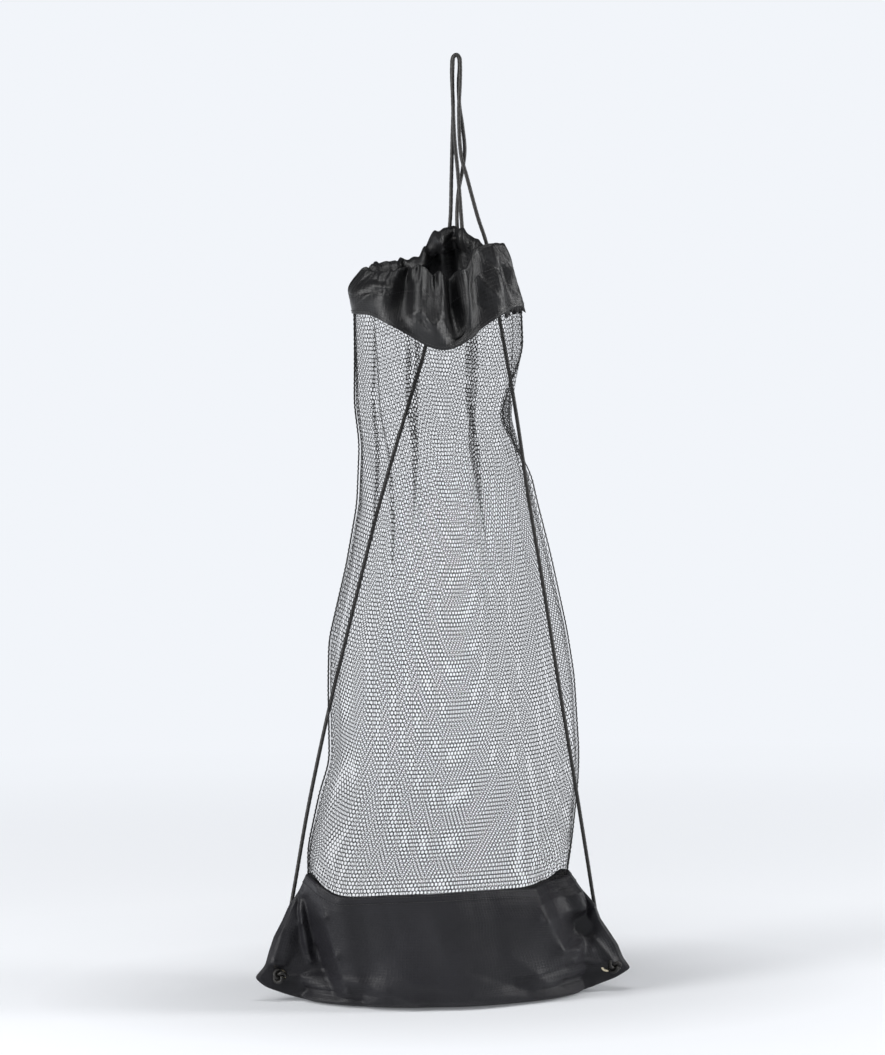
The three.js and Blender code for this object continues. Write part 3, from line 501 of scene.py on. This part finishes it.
def waves(tree, source, pitch):
    """A sine along one UV way, with one wave in each pitch."""
    return math_node(tree, "SINE", math_node(tree, "MULTIPLY", source, 2 * math.pi / pitch))


def noise(tree, scale, detail, roughness=0.5):
    place = node(tree, "ShaderNodeTexCoord")
    made = node(tree, "ShaderNodeTexNoise", Scale=scale, Detail=detail, Roughness=roughness)
    tree.links.new(place.outputs["Object"], made.inputs["Vector"])
    return made.outputs[0]


def raised(tree, shader, height, strength, distance):
    bump = node(tree, "ShaderNodeBump", Strength=strength, Distance=distance)
    tree.links.new(height, bump.inputs["Height"])
    tree.links.new(bump.outputs[0], shader.inputs["Normal"])


def shaded(tree, shader, source, color, shades, stops=(0, 1)):
    """A base colour that goes from a darker to a lighter shade with a source."""
    ramp = node(tree, "ShaderNodeValToRGB")
    for element, shade, stop in zip(ramp.color_ramp.elements, shades, stops):
        element.color = (*[part * shade for part in color], 1)
        element.position = stop
    tree.links.new(source, ramp.inputs[0])
    tree.links.new(ramp.outputs[0], shader.inputs["Base Color"])


def roughened(tree, shader, source, low, high):
    rough = node(tree, "ShaderNodeMapRange", **{"To Min": low, "To Max": high})
    tree.links.new(source, rough.inputs["Value"])
    tree.links.new(rough.outputs[0], shader.inputs["Roughness"])


THREAD_PITCH = 0.0008
RIPSTOP_PITCH = 0.0034
RIPSTOP_SHARE = 0.93
THREAD_HEIGHT = 0.00003
RIPSTOP_HEIGHT = 0.0011
CRUMPLE_HEIGHT = 0.0016
ROUGHNESS_CHANGE = 0.07


def woven_fabric(name, color, roughness, gloss):
    """A coated plain weave with a coarser thread at intervals, creased and slightly mottled."""
    material, tree, shader = material_of(name, color, roughness)
    shader.inputs["Specular IOR Level"].default_value = gloss
    shader.inputs["Sheen Weight"].default_value = 0.02
    shader.inputs["Sheen Roughness"].default_value = 0.4
    place = node(tree, "ShaderNodeUVMap", uv_map="cloth")
    parts = node(tree, "ShaderNodeSeparateXYZ")
    tree.links.new(place.outputs[0], parts.inputs[0])
    along, up = parts.outputs[0], parts.outputs[1]
    fine = math_node(tree, "MULTIPLY", waves(tree, along, THREAD_PITCH), waves(tree, up, THREAD_PITCH))
    cross = math_node(tree, "MAXIMUM", waves(tree, along, RIPSTOP_PITCH),
                      waves(tree, up, RIPSTOP_PITCH))
    lines = math_node(tree, "SMOOTH_MAX", math_node(tree, "SUBTRACT", cross, RIPSTOP_SHARE))
    weave = math_node(tree, "ADD", math_node(tree, "MULTIPLY", fine, THREAD_HEIGHT),
                      math_node(tree, "MULTIPLY", lines, RIPSTOP_HEIGHT))
    crumple = math_node(tree, "MULTIPLY", noise(tree, 42.0, 5.0, 0.55), CRUMPLE_HEIGHT)
    raised(tree, shader, math_node(tree, "ADD", weave, crumple), 0.85, 1.0)
    mottle = noise(tree, 9.0, 4.0, 0.6)
    shaded(tree, shader, mottle, color, (0.8, 1.25), (0.35, 0.68))
    roughened(tree, shader, mottle, roughness - ROUGHNESS_CHANGE, roughness + ROUGHNESS_CHANGE)
    return material


FIBRE_HEIGHT = 0.0004


def knitted_net(name, color, roughness):
    material, tree, shader = material_of(name, color, roughness)
    shader.inputs["Specular IOR Level"].default_value = 0.3
    fuzz = noise(tree, 1800.0, 2.0)
    raised(tree, shader, fuzz, 0.5, FIBRE_HEIGHT)
    shaded(tree, shader, fuzz, color, (0.6, 1.6))
    return material


def braided_cord(name, color, roughness):
    material, tree, shader = material_of(name, color, roughness)
    shader.inputs["Sheen Weight"].default_value = 0.03
    fibre = noise(tree, 900.0, 3.0)
    raised(tree, shader, fibre, 0.6, FIBRE_HEIGHT)
    shaded(tree, shader, fibre, color, (0.5, 1.9))
    return material


def plated_metal(name, color):
    material, tree, shader = material_of(name, color, 0.24)
    shader.inputs["Metallic"].default_value = 1
    roughened(tree, shader, noise(tree, 700.0, 4.0), 0.16, 0.38)
    return material


FABRIC = woven_fabric("foot_fabric", (0.0112, 0.0108, 0.0136), 0.44, 0.33)
COLLAR_FABRIC = woven_fabric("collar_fabric", (0.0052, 0.0052, 0.0058), 0.37, 0.40)
NET = knitted_net("net_knit", (0.006, 0.006, 0.0065), 0.6)
CORD = braided_cord("cord_braid", (0.008, 0.007, 0.006), 0.5)
METAL = plated_metal("eyelet_metal", (0.74, 0.66, 0.48))
THREAD = braided_cord("sewing_thread", (0.018, 0.018, 0.019), 0.5)

# Camera: the photograph's frame is 885 by 1055 pixels, one pixel about 1.045 mm at the bag
CAMERA_AZIMUTH = math.radians(-8)
CAMERA_ELEVATION = math.radians(6)
CAMERA_DISTANCE = 4.0
FRAME_HEIGHT = 1055 * 0.001045
CAMERA_TARGET = Vector((-0.0211, -0.048, -0.4894))


def camera():
    data = bpy.data.cameras.new("camera")
    data.sensor_width = 36
    data.lens = data.sensor_width * CAMERA_DISTANCE / FRAME_HEIGHT
    seen_from = Vector((math.sin(CAMERA_AZIMUTH) * math.cos(CAMERA_ELEVATION),
                        -math.cos(CAMERA_AZIMUTH) * math.cos(CAMERA_ELEVATION),
                        math.sin(CAMERA_ELEVATION)))
    thing = bpy.data.objects.new("camera", data)
    thing.location = CAMERA_TARGET + seen_from * CAMERA_DISTANCE
    thing.rotation_mode = "QUATERNION"
    thing.rotation_quaternion = (-seen_from).to_track_quat("-Z", "Y")
    bpy.context.collection.objects.link(thing)
    bpy.context.scene.camera = thing


camera()

# Cords

def centripetal(points, step):
    """A smooth line through chosen points, sampled about every step."""
    points = np.asarray(points, float)
    ends = np.vstack([2 * points[0] - points[1], points, 2 * points[-1] - points[-2]])
    line = []
    for i in range(1, len(ends) - 2):
        p = ends[i - 1:i + 3]
        gaps = np.maximum(np.linalg.norm(np.diff(p, axis=0), axis=1) ** 0.5, 1e-6)
        t = np.concatenate([[0], np.cumsum(gaps)])
        count = max(1, round(np.linalg.norm(p[2] - p[1]) / step))
        s = np.linspace(t[1], t[2], count, endpoint=False)[:, None]
        a = [(t[k + 1] - s) / (t[k + 1] - t[k]) * p[k] + (s - t[k]) / (t[k + 1] - t[k]) * p[k + 1]
             for k in range(3)]
        b = [(t[k + 2] - s) / (t[k + 2] - t[k]) * a[k] + (s - t[k]) / (t[k + 2] - t[k]) * a[k + 1]
             for k in range(2)]
        line.append((t[2] - s) / (t[2] - t[1]) * b[0] + (s - t[1]) / (t[2] - t[1]) * b[1])
    line.append(points[-1:])
    return np.vstack(line)


# radius, sides, pitch of the braid, relief of the strands as a share of the radius
FREE_CORD = (CORD_RADIUS, 14, 0.0085, 0.07)
CHANNEL_CORD = (CORD_RADIUS, 12, 0.0085, 0.07)
KNOT_CORD = (0.0019, 12, 0.006, 0.10)
BUTTONHOLE_EDGE = (0.0011, 10, 0.0024, 0.25)


def tube(name, line, kind):
    """A braided tube along a line, one of the kinds above."""
    radius, sides, braid_pitch, relief = kind
    tangents = np.gradient(line, axis=0)
    tangents /= np.linalg.norm(tangents, axis=1)[:, None]
    normal = np.cross(tangents[0], (0.0, 0.0, 1.0))
    if np.linalg.norm(normal) < 0.1:
        normal = np.cross(tangents[0], (0.0, 1.0, 0.0))
    normals = []
    for tangent in tangents:
        normal = normal - tangent * normal.dot(tangent)
        normal = normal / np.linalg.norm(normal)
        normals.append(normal)
    normals = np.array(normals)
    others = np.cross(tangents, normals)
    length = np.concatenate([[0], np.cumsum(np.linalg.norm(np.diff(line, axis=0), axis=1))])
    turn = np.arange(sides) * 2 * math.pi / sides
    phase = 2 * math.pi * length[:, None] / braid_pitch
    strands = np.maximum(np.cos(4 * turn + phase), np.cos(4 * turn - phase))
    size = radius * (1 + relief * (strands - 0.5))
    points = (line[:, None] + size[..., None] * (np.cos(turn)[None, :, None] * normals[:, None]
              + np.sin(turn)[None, :, None] * others[:, None]))
    faces = grid_faces(len(line), sides, False, True)[0]
    faces.append(list(range(sides))[::-1])
    faces.append(list(range((len(line) - 1) * sides, len(line) * sides)))
    return mesh_object(name, points.reshape(-1, 3), faces, CORD)


def eyelet_place(side):
    return np.array([side * (HALF_WIDTH - EYELET_INSET), 0, EYELET_HEIGHT]) - HANG_POINT


KNOT_RADIUS = 0.0043
KNOT_SHIFT = {-1: -0.001, 1: 0.0075}
KNOT_FORWARD = 0.0063
KNOT_TURN = 0.97


def knot(side):
    """An overhand knot in front of its eyelet."""
    turn = np.linspace(0, 2 * math.pi * KNOT_TURN, 150)
    swell = KNOT_RADIUS * (2 + np.cos(3 * turn)) / 2
    path = np.stack([swell * np.cos(2 * turn), -KNOT_RADIUS / 2 * np.sin(3 * turn),
                     swell * np.sin(2 * turn)], axis=1)
    place = eyelet_place(side) + np.array([KNOT_SHIFT[side], -KNOT_FORWARD, 0])
    return tube(f"knot_{'left' if side < 0 else 'right'}_cord", path + place, KNOT_CORD)


LINE_STEP = 0.001
for name, points, side in (("left", LEFT_CORD_POINTS, -1), ("right", RIGHT_CORD_POINTS, 1)):
    line = centripetal(np.array(points) / 1000 - HANG_POINT, LINE_STEP)
    free = tube(f"cord_{name}", line, FREE_CORD)
    knotted = knot(side)
    ride(free, "cord", f"drawcord_{name}")
    ride(knotted, "cord", f"knot_{name}")

turns = np.linspace(EXIT_HALF_ANGLE, 360 - EXIT_HALF_ANGLE, 420)
channel_angles = np.radians(EXIT_ANGLE + turns)
channel_line = cloth_point(channel_angles, level_below_rim(channel_angles, CORD_DROP),
                           COLLAR_WALL + CHANNEL_WIDTH / 2, GATHERS)
ride(tube("cord_in_channel", channel_line, CHANNEL_CORD), "cord", "channel_cord")

# The foot

FOOT_COLUMNS = 480
LOW_LEVEL = 0.25
LOW_ROWS = 36
HIGH_ROWS = 74
INNER_ROWS = 50
HEM_FOLD = 0.0005
HEM_EDGE = 0.0006


def foot():
    angle = np.arange(FOOT_COLUMNS) * 2 * math.pi / FOOT_COLUMNS
    levels = np.concatenate([np.linspace(0, LOW_LEVEL, LOW_ROWS, endpoint=False),
                             np.linspace(LOW_LEVEL, 1, HIGH_ROWS)])
    angles, outer = np.meshgrid(angle, levels)
    heights = BASE_HEIGHT * (1 - outer)
    hem = HEM_FOLD * smooth((SEAM_LAP - heights) / HEM_EDGE)
    outside = cloth_point(angles, outer, -hem, creased=True)
    inside = foot_inside(*np.meshgrid(angle, np.linspace(1, 0.02, INNER_ROWS)))
    points = np.concatenate([outside, inside])
    ring = np.arange(FOOT_COLUMNS)
    thing = grid_object("foot_fabric", points, FABRIC)
    close_ends(thing, ring[::-1].tolist(), (ring + (len(points) - 1) * FOOT_COLUMNS).tolist())
    return thing


def foot_inside(angle, level):
    """The pouch's inner side, a wall inside the outer one and clear of the pinched corners."""
    section = section_at(level)
    half_width = (section[0] + section[1]) / 2 * HALF_WIDTH
    middle = (section[1] - section[0]) / 2 * HALF_WIDTH
    reach = 1 - (section[8] * CORNER_TAB + 2 * BASE_WALL) / half_width
    across = reach * np.cos(angle)
    side = np.sin(angle)
    x = middle + half_width * across
    z = height_at(angle, level)
    seam = mix(section[4], section[5], (1 + across) / 2) * HALF_DEPTH
    dents = dent_at(BASE_DENTS, side, x, z) + dent_at(BASE_CREASES, side, x, z, sharp=True)
    depth = half_depth(section, side, across, half_width) + dents
    depth = np.maximum((depth - BASE_WALL) * np.minimum(1, np.abs(side) / SIDE_ROUNDING), 0)
    points = np.stack([x, seam + np.sign(side) * depth, np.maximum(z, BASE_WALL)], axis=-1)
    return points - HANG_POINT


def close_ends(thing, *rings):
    """Fans over the open rings of a grid."""
    body = bmesh.new()
    body.from_mesh(thing.data)
    body.verts.ensure_lookup_table()
    for ring in rings:
        centre = sum((body.verts[i].co for i in ring), Vector()) / len(ring)
        hub = body.verts.new(centre)
        body.verts.ensure_lookup_table()
        for k, i in enumerate(ring):
            body.faces.new((body.verts[i], body.verts[ring[(k + 1) % len(ring)]], hub)).smooth = True
    body.to_mesh(thing.data)
    body.free()


ride(foot(), "fabric", "base_panel")

# The net

def pleated(angle, level):
    """Where a thread of the net lies once the net is folded over itself, and how far inside."""
    turned = angle.copy()
    depth = np.zeros_like(angle)
    for top, foot_angle, spread_top, spread_foot, start, stop, fade in PLEATS:
        share = np.clip((level - start) / (stop - start), 0, 1)
        middle = math.radians(1) * mix(foot_angle, top, share)
        spread = math.radians(1) * mix(spread_foot, spread_top, share)
        away = (angle - middle) / spread
        strength = smooth((level - start) / fade) * smooth((stop - level) / PLEAT_END + 1)
        turned -= PLEAT_TURN * strength * spread * away * np.exp(-0.5 * away * away)
        depth += PLEAT_DEPTH * strength ** 2 * np.exp(-0.5 * away * away)
    return turned, depth


HEXAGON = np.array([[0, 2], [-1, 1], [-1, -1], [0, -2], [1, -1], [1, 1]])
EVEN_SAMPLES = 900
WAVER = 0.0011
FINE_WAVER = 0.0007
NET_SLACK = 0.0015


def net_level(row):
    low = 1 - SEAM_LAP / BASE_HEIGHT
    high = 2 + SEAM_LAP / COLLAR_HEIGHT
    return low + (high - low) * row / NET_ROWS


def net_fold(first, angle, level, depth):
    """A point of the net before its threads are spaced evenly."""
    turned, pleat = pleated(angle, level)
    near = np.minimum(angle - first, first + math.pi - angle)
    turned = mix(angle, turned, smooth(near / 0.12))
    waver = (WAVER * np.sin(9.0 * turned + 2.2 * level) * np.sin(7.0 * level + 1.3 * turned)
             + FINE_WAVER * np.sin(23.0 * turned - 5.0 * level))
    free = smooth((level - 1.0) * 6) * smooth((2.0 - level) * 6)
    inset = NET_INSET + depth + pleat * smooth(near / 0.2) + (waver + NET_SLACK) * free
    return cloth_point(turned, level, inset)


def even_angles(first):
    """For each row of the net, the angles at which its columns lie an even way apart."""
    angle = np.linspace(first, first + math.pi, EVEN_SAMPLES)
    table = []
    for row in range(NET_ROWS + 2):
        points = net_fold(first, angle, np.full_like(angle, net_level(row)), 0.0)
        way = np.concatenate([[0], np.cumsum(np.linalg.norm(np.diff(points, axis=0), axis=1))])
        table.append(np.interp(np.linspace(0, 1, EVEN_SAMPLES), way / way[-1], angle))
    return np.array(table)


def net_points(first, table, column, row, depth):
    row = np.clip(row, 0, NET_ROWS + 1)
    place = column / NET_COLUMNS * (EVEN_SAMPLES - 1)
    i = np.minimum(place.astype(int), EVEN_SAMPLES - 2)
    j = np.minimum(row.astype(int), NET_ROWS)
    low = mix(table[j, i], table[j, i + 1], place - i)
    high = mix(table[j + 1, i], table[j + 1, i + 1], place - i)
    return net_fold(first, mix(low, high, row - j), net_level(row), depth)


def net(name, first):
    """A sheet of hexagonal holes, its strands rounded by holes set deeper than their borders."""
    row, column = np.meshgrid(np.arange(NET_ROWS + 1), np.arange(NET_COLUMNS + 1), indexing="ij")
    centre = np.stack([2 * column.ravel() + row.ravel() % 2, 3 * row.ravel()], axis=1)
    centre = centre[(centre[:, 0] > 0) & (centre[:, 0] < 2 * NET_COLUMNS)]
    corners = centre[:, None] + HEXAGON[None]
    keys, outer = np.unique(corners.reshape(-1, 2), axis=0, return_inverse=True)
    outer = outer.reshape(-1, 6)
    table = even_angles(first)
    border = net_points(first, table, np.clip(keys[:, 0] / 2, 0, NET_COLUMNS), keys[:, 1] / 3, 0.0)
    inner_keys = (centre[:, None] + HOLE_SHARE * HEXAGON[None]).reshape(-1, 2)
    holes = net_points(first, table, np.clip(inner_keys[:, 0] / 2, 0, NET_COLUMNS),
                       inner_keys[:, 1] / 3, STRAND_DEPTH)
    inner = len(border) + np.arange(len(inner_keys)).reshape(-1, 6)
    following = np.roll(np.arange(6), -1)
    faces = np.stack([outer, outer[:, following], inner[:, following], inner], axis=2)
    points = np.concatenate([border, holes])
    return mesh_object(name, points, faces.reshape(-1, 4).tolist(), NET)


ride(net("net_front", math.pi), "net", "mesh_front")
ride(net("net_back", 0.0), "net", "mesh_back")


# degrees from the seam, how far outwards
SELVEDGE = np.array([
    [-2.2, 0.0], [-1.4, 0.0009], [-0.5, 0.0014], [0.5, 0.0014], [1.4, 0.0009], [2.2, 0.0],
])
SELVEDGE_INSET = NET_INSET - 0.0002
SELVEDGE_RIPPLE = 0.0003
EDGE_THICKNESS = 0.0005


def thicken(thing):
    solid = thing.modifiers.new("thickness", "SOLIDIFY")
    solid.thickness = EDGE_THICKNESS


def side_seam(name, angle):
    """The doubled selvedge where the two nets are sewn together."""
    angles, level = np.meshgrid(angle + np.radians(SELVEDGE[:, 0]), np.linspace(1.0, 2.0, 260))
    ripple = SELVEDGE_RIPPLE * np.sin(level * 900)
    points = cloth_point(angles, level, SELVEDGE_INSET - SELVEDGE[:, 1] + ripple)
    thing = grid_object(name, points, COLLAR_FABRIC, wrap_columns=False)
    thicken(thing)
    ride(thing, "net")


side_seam("selvedge_right", 0.0)
side_seam("selvedge_left", math.pi)

# The collar

COLLAR_COLUMNS = 720
EXIT_ARM = RIM_DEPTH * 0.62
CLOTH_GAP = 0.0003


def casing_bulge(drop):
    return np.sin(np.pi * np.clip(drop / CHANNEL_DROP, 0, 1)) ** 0.6


def collar_rows():
    """The closed section of the collar: the kind and value of each row's place, and its inset."""
    folded = 2 * COLLAR_WALL + CLOTH_GAP
    channel = 2 * COLLAR_WALL + CHANNEL_WIDTH
    rows = [("level", 2 + share, -0.0004 * (share < 0.09)) for share in np.linspace(0, 1, 34)]
    rows += [("drop", -0.0007, 0.0007), ("drop", -0.001, COLLAR_WALL), ("drop", -0.0006, 0.0034)]
    rows += [("drop", 0.0, folded)]
    for drop in np.linspace(0.001, CHANNEL_DROP, 22):
        rows.append(("drop", drop, mix(folded, channel, casing_bulge(drop))))
    rows.append(("drop", CHANNEL_DROP, COLLAR_WALL + CLOTH_GAP))
    for drop in np.linspace(CHANNEL_DROP - 0.001, COLLAR_WALL, 14):
        inset = mix(COLLAR_WALL + CLOTH_GAP, channel - COLLAR_WALL, casing_bulge(drop))
        rows.append(("drop", drop, inset))
    for drop in np.linspace(COLLAR_WALL + 0.001, CHANNEL_DROP + 0.001, 12):
        rows.append(("drop", drop, COLLAR_WALL))
    for level in np.linspace(2 + SEAM_LAP / COLLAR_HEIGHT, 2, 8):
        rows.append(("level", level, COLLAR_WALL))
    return rows


def collar():
    angle = np.arange(COLLAR_COLUMNS) * 2 * math.pi / COLLAR_COLUMNS
    grid = []
    for kind, value, inset in collar_rows():
        level = np.full_like(angle, value) if kind == "level" else level_below_rim(angle, value)
        drop = height_at(angle, 3.0) - height_at(angle, level)
        outer = inset < COLLAR_WALL and kind == "level"
        swell = CASING_SWELL * np.sin(np.pi * np.clip(drop / CHANNEL_DROP, 0, 1))
        crease = CASING_CREASE * np.exp(-((drop - CHANNEL_DROP) / CREASE_WIDTH) ** 2)
        near_rim = np.exp(-np.abs(drop) / RUFFLE_REACH)
        drawn = mix(SMOOTH_SHARE, 1, smooth((1 - np.cos(angle - SMOOTH_SIDE)) / 1.2))
        ruffle = RIM_RUFFLE * drawn * near_rim * (np.sin(31 * angle) + 0.7 * np.sin(47 * angle + 1.1))
        away = np.hypot((angle - math.radians(EXIT_ANGLE)) * EXIT_ARM / EXIT_WIDTH,
                        (drop - CORD_DROP) / EXIT_HEIGHT) * 2
        recess = EXIT_RECESS * smooth((1 - away) * 3)
        outward = crease - swell + recess if outer else 0
        points = cloth_point(angle, level, inset + outward + ruffle, GATHERS)
        lift = np.sin(26 * angle + 0.4) + np.sin(39 * angle)
        points[:, 2] += 0.8 * RIM_RUFFLE * drawn * near_rim * lift
        grid.append(points)
    return grid_object("collar_fabric", np.array(grid), COLLAR_FABRIC, wrap_rows=True)


ride(collar(), "collar_fabric", "collar")


def buttonhole():
    """The sewn edge of the hole where both ends of the cord leave the channel."""
    turn = np.linspace(0, 2 * math.pi, 120)
    angle = math.radians(EXIT_ANGLE) + EXIT_WIDTH / 2 * np.cos(turn) / EXIT_ARM
    level = level_below_rim(angle, CORD_DROP + EXIT_HEIGHT / 2 * np.sin(turn))
    swell = CASING_SWELL * math.sin(math.pi * CORD_DROP / CHANNEL_DROP)
    edge = cloth_point(angle, level, -swell - 0.0004, GATHERS)
    ride(tube("exit_buttonhole", edge, BUTTONHOLE_EDGE), "collar_fabric")


buttonhole()


ALLOWANCE = 0.0050
ALLOWANCE_WAVE = 0.0016


def hem_allowance():
    """The frayed seam edge that shows under the collar's hem at the right."""
    angle = np.radians(np.linspace(318, 352, 260))
    grid = []
    for share in np.linspace(-0.004, 1, 12):
        fall = share * ALLOWANCE * (1 + 0.25 * np.sin(37 * angle) + 0.2 * np.sin(83 * angle))
        level = 2 - fall / (height_at(angle, 2.0) - height_at(angle, 1.0))
        wave = ALLOWANCE_WAVE * share * (np.sin(64 * angle + 0.5) + 0.6 * np.sin(107 * angle))
        grid.append(cloth_point(angle, level, 0.0005 + wave))
    thing = grid_object("hem_allowance", np.array(grid), NET, wrap_columns=False)
    thicken(thing)
    ride(thing, "collar_fabric")


hem_allowance()

# Sewing threads

STITCH_PITCH = 0.0031
STITCH_LENGTH = 0.0025
STITCH_RADIUS = 0.00032
STITCH_SIDES = 6
# place along the stitch, thickness
STITCH_RINGS = [(-1.0, 0.35), (-0.7, 0.85), (0.0, 1.0), (0.7, 0.85), (1.0, 0.35)]


def stitch_rows(name, slot_name, lines):
    """Short threads, end to end, along each line of points."""
    points, faces = [], []
    ring = grid_faces(len(STITCH_RINGS), STITCH_SIDES, False, True)[0]
    first = list(range(STITCH_SIDES))
    last = [(len(STITCH_RINGS) - 1) * STITCH_SIDES + i for i in first]
    shape = ring + [first[::-1], last]
    turn = np.arange(STITCH_SIDES) * 2 * math.pi / STITCH_SIDES
    for line in lines:
        way = np.concatenate([[0], np.cumsum(np.linalg.norm(np.diff(line, axis=0), axis=1))])
        for middle in np.arange(STITCH_PITCH / 2, way[-1], STITCH_PITCH):
            ends = np.array([[np.interp(middle + side * STITCH_LENGTH / 2, way, line[:, k])
                              for k in range(3)] for side in (-1, 1)])
            along = ends[1] - ends[0]
            half = np.linalg.norm(along) / 2
            along = along / np.linalg.norm(along)
            normal = np.cross(along, (0.0, 0.0, 1.0))
            normal /= np.linalg.norm(normal)
            other = np.cross(along, normal)
            base = len(points) * len(STITCH_RINGS) * STITCH_SIDES
            points.append([ends.mean(axis=0) + along * half * t
                           + STITCH_RADIUS * size * (math.cos(a) * normal + math.sin(a) * other)
                           for t, size in STITCH_RINGS for a in turn])
            faces += [[base + i for i in face] for face in shape]
    ride(mesh_object(name, np.array(points).reshape(-1, 3), faces, THREAD), slot_name)


def around(level_at, inset, gathers, creased=False):
    angle = np.linspace(0, 2 * math.pi, 1600)
    return cloth_point(angle, level_at(angle), inset, gathers, creased)


def above_collar_hem(rise):
    return lambda angle: 2 + rise / (height_at(angle, 3.0) - height_at(angle, 2.0))


def below_foot_hem(drop):
    return lambda angle: 1 - drop / height_at(angle, 1.0)


stitch_rows("stitches_collar", "collar_fabric", [
    around(above_collar_hem(0.0030), -0.0006, GATHERS),
    around(lambda angle: level_below_rim(angle, CHANNEL_DROP), -0.0001, GATHERS),
])
stitch_rows("stitches_foot", "fabric", [
    around(below_foot_hem(0.0022), -0.0007, (), True),
    around(below_foot_hem(0.0082), -0.0007, (), True),
])

# Eyelets

EYELET_LIFT = 0.0003
EYELET_DOME = 0.0011
EYELET_WALL = 0.0008
EYELET_SIDES = 72


def eyelet(side):
    bore = EYELET_BORE / 2
    flange = EYELET_FLANGE / 2
    face = TAB_HALF + EYELET_LIFT
    arc = np.linspace(math.pi, 0, 14)
    dome = [(mix(bore, flange, (1 + math.cos(a)) / 2), face + EYELET_DOME * math.sin(a)) for a in arc]
    neck = bore + EYELET_WALL
    profile = [(r, -d) for r, d in dome] + [(neck, -face), (neck, face)]
    profile += [(r, d) for r, d in dome[::-1]]
    turn = np.arange(EYELET_SIDES) * 2 * math.pi / EYELET_SIDES
    points = np.array([[(r * math.cos(t), d, r * math.sin(t)) for t in turn] for r, d in profile])
    name = "left" if side < 0 else "right"
    thing = grid_object(f"eyelet_ring_{name}", points + eyelet_place(side), METAL, wrap_rows=True)
    ride(thing, "metal", f"eyelet_{name}")


eyelet(-1)
eyelet(1)

# Stage and light

FLOOR_HEIGHT = -0.9885
FLOOR_RINGS = (0.0005, 0.5, 1.0, 2.0, 4.0, 8.0, 20.0, 60.0)
FLOOR_SIDES = 96
ROOM_LIGHT = 0.10
PAPER = (0.887, 0.913, 0.956, 1)
PAPER_GREY = (0.60, 0.61, 0.63, 1)
# Distances across are squeezed, so the painted shadow under the foot stretches along the foot
FLOOR_STRETCH = (0.62, 1, 0)
GLOW_REACH = 3.0
# The floor's glow and grey by distance from the bag in metres: the glow is less where the
# lamps reach the floor, and least under the foot, where its dip is a painted shadow of the bag
GLOW_AND_PAINTED_SHADOW_STOPS = [
    (0.10, 0.14), (0.16, 0.18), (0.28, 0.33), (0.50, 0.39), (0.87, 0.62), (1.20, 0.81),
    (1.40, 0.92), (1.60, 1.00),
]
GREY_STOPS = [(0.50, 1.0), (1.60, 0.0)]


def distance_ramp(tree, distance, stops, color=(1, 1, 1, 1)):
    """A colour that changes with the distance, from stops in metres."""
    ramp = node(tree, "ShaderNodeValToRGB")
    elements = ramp.color_ramp.elements
    while len(elements) < len(stops):
        elements.new(1.0)
    for element, (reach, share) in zip(elements, stops):
        element.position = reach / GLOW_REACH
        element.color = (*[share * part for part in color[:3]], 1)
    tree.links.new(distance, ramp.inputs[0])
    return ramp.outputs["Color"]


def stage():
    """A pale floor, lit near the bag, as bright as the room further away, with painted shadow under the
    foot.
    """
    turn = np.arange(FLOOR_SIDES) * 2 * math.pi / FLOOR_SIDES
    points = np.array([[(r * math.cos(t), r * math.sin(t), FLOOR_HEIGHT) for t in turn]
                       for r in FLOOR_RINGS])
    material, tree, shader = material_of("pale_paper", PAPER_GREY[:3], 0.95)
    shader.inputs["Specular IOR Level"].default_value = 0.0
    shader.inputs["Emission Color"].default_value = PAPER
    place = node(tree, "ShaderNodeTexCoord")
    length = node(tree, "ShaderNodeVectorMath", operation="LENGTH")
    flat = node(tree, "ShaderNodeVectorMath", operation="MULTIPLY")
    flat.inputs[1].default_value = FLOOR_STRETCH
    tree.links.new(place.outputs["Object"], flat.inputs[0])
    tree.links.new(flat.outputs["Vector"], length.inputs[0])
    share = math_node(tree, "DIVIDE", length.outputs["Value"], GLOW_REACH)
    # The glow by distance, least under the foot as a painted shadow of the bag
    glow_and_painted_shadow = distance_ramp(tree, share, GLOW_AND_PAINTED_SHADOW_STOPS)
    tree.links.new(glow_and_painted_shadow, shader.inputs["Emission Strength"])
    grey = distance_ramp(tree, share, GREY_STOPS, PAPER_GREY)
    tree.links.new(grey, shader.inputs["Base Color"])
    grid_object("floor", points, material)


def studio_room():
    """A room that is dim where it lights the bag and pale where it is looked at."""
    world = bpy.data.worlds.new("studio")
    world.use_nodes = True
    tree = world.node_tree
    dim = tree.nodes["Background"]
    dim.inputs["Color"].default_value = (0.93, 0.96, 1.0, 1)
    dim.inputs["Strength"].default_value = ROOM_LIGHT
    pale = node(tree, "ShaderNodeBackground", Color=PAPER, Strength=1.0)
    rays = node(tree, "ShaderNodeLightPath")
    either = node(tree, "ShaderNodeMixShader")
    tree.links.new(rays.outputs["Is Camera Ray"], either.inputs[0])
    tree.links.new(dim.outputs[0], either.inputs[1])
    tree.links.new(pale.outputs[0], either.inputs[2])
    tree.links.new(either.outputs[0], tree.nodes["World Output"].inputs["Surface"])
    bpy.context.scene.world = world


def area_light(name, place, target, size, power):
    data = bpy.data.lights.new(name, "AREA")
    data.shape = "RECTANGLE"
    data.size, data.size_y = size
    data.energy = power
    thing = bpy.data.objects.new(name, data)
    thing.location = place
    thing.rotation_mode = "QUATERNION"
    thing.rotation_quaternion = (Vector(target) - Vector(place)).to_track_quat("-Z", "Y")
    bpy.context.collection.objects.link(thing)


MIDDLE = (0.0, 0.0, -0.55)
stage()
area_light("left_softbox", (-2.1, -1.0, 0.3), MIDDLE, (0.5, 2.0), 62)
area_light("right_softbox", (2.2, -0.5, 0.1), MIDDLE, (0.4, 1.8), 46)
area_light("top_softbox", (-0.3, -0.9, 1.7), MIDDLE, (1.3, 0.5), 24)
studio_room()
bpy.context.scene.view_settings.view_transform = "Standard"
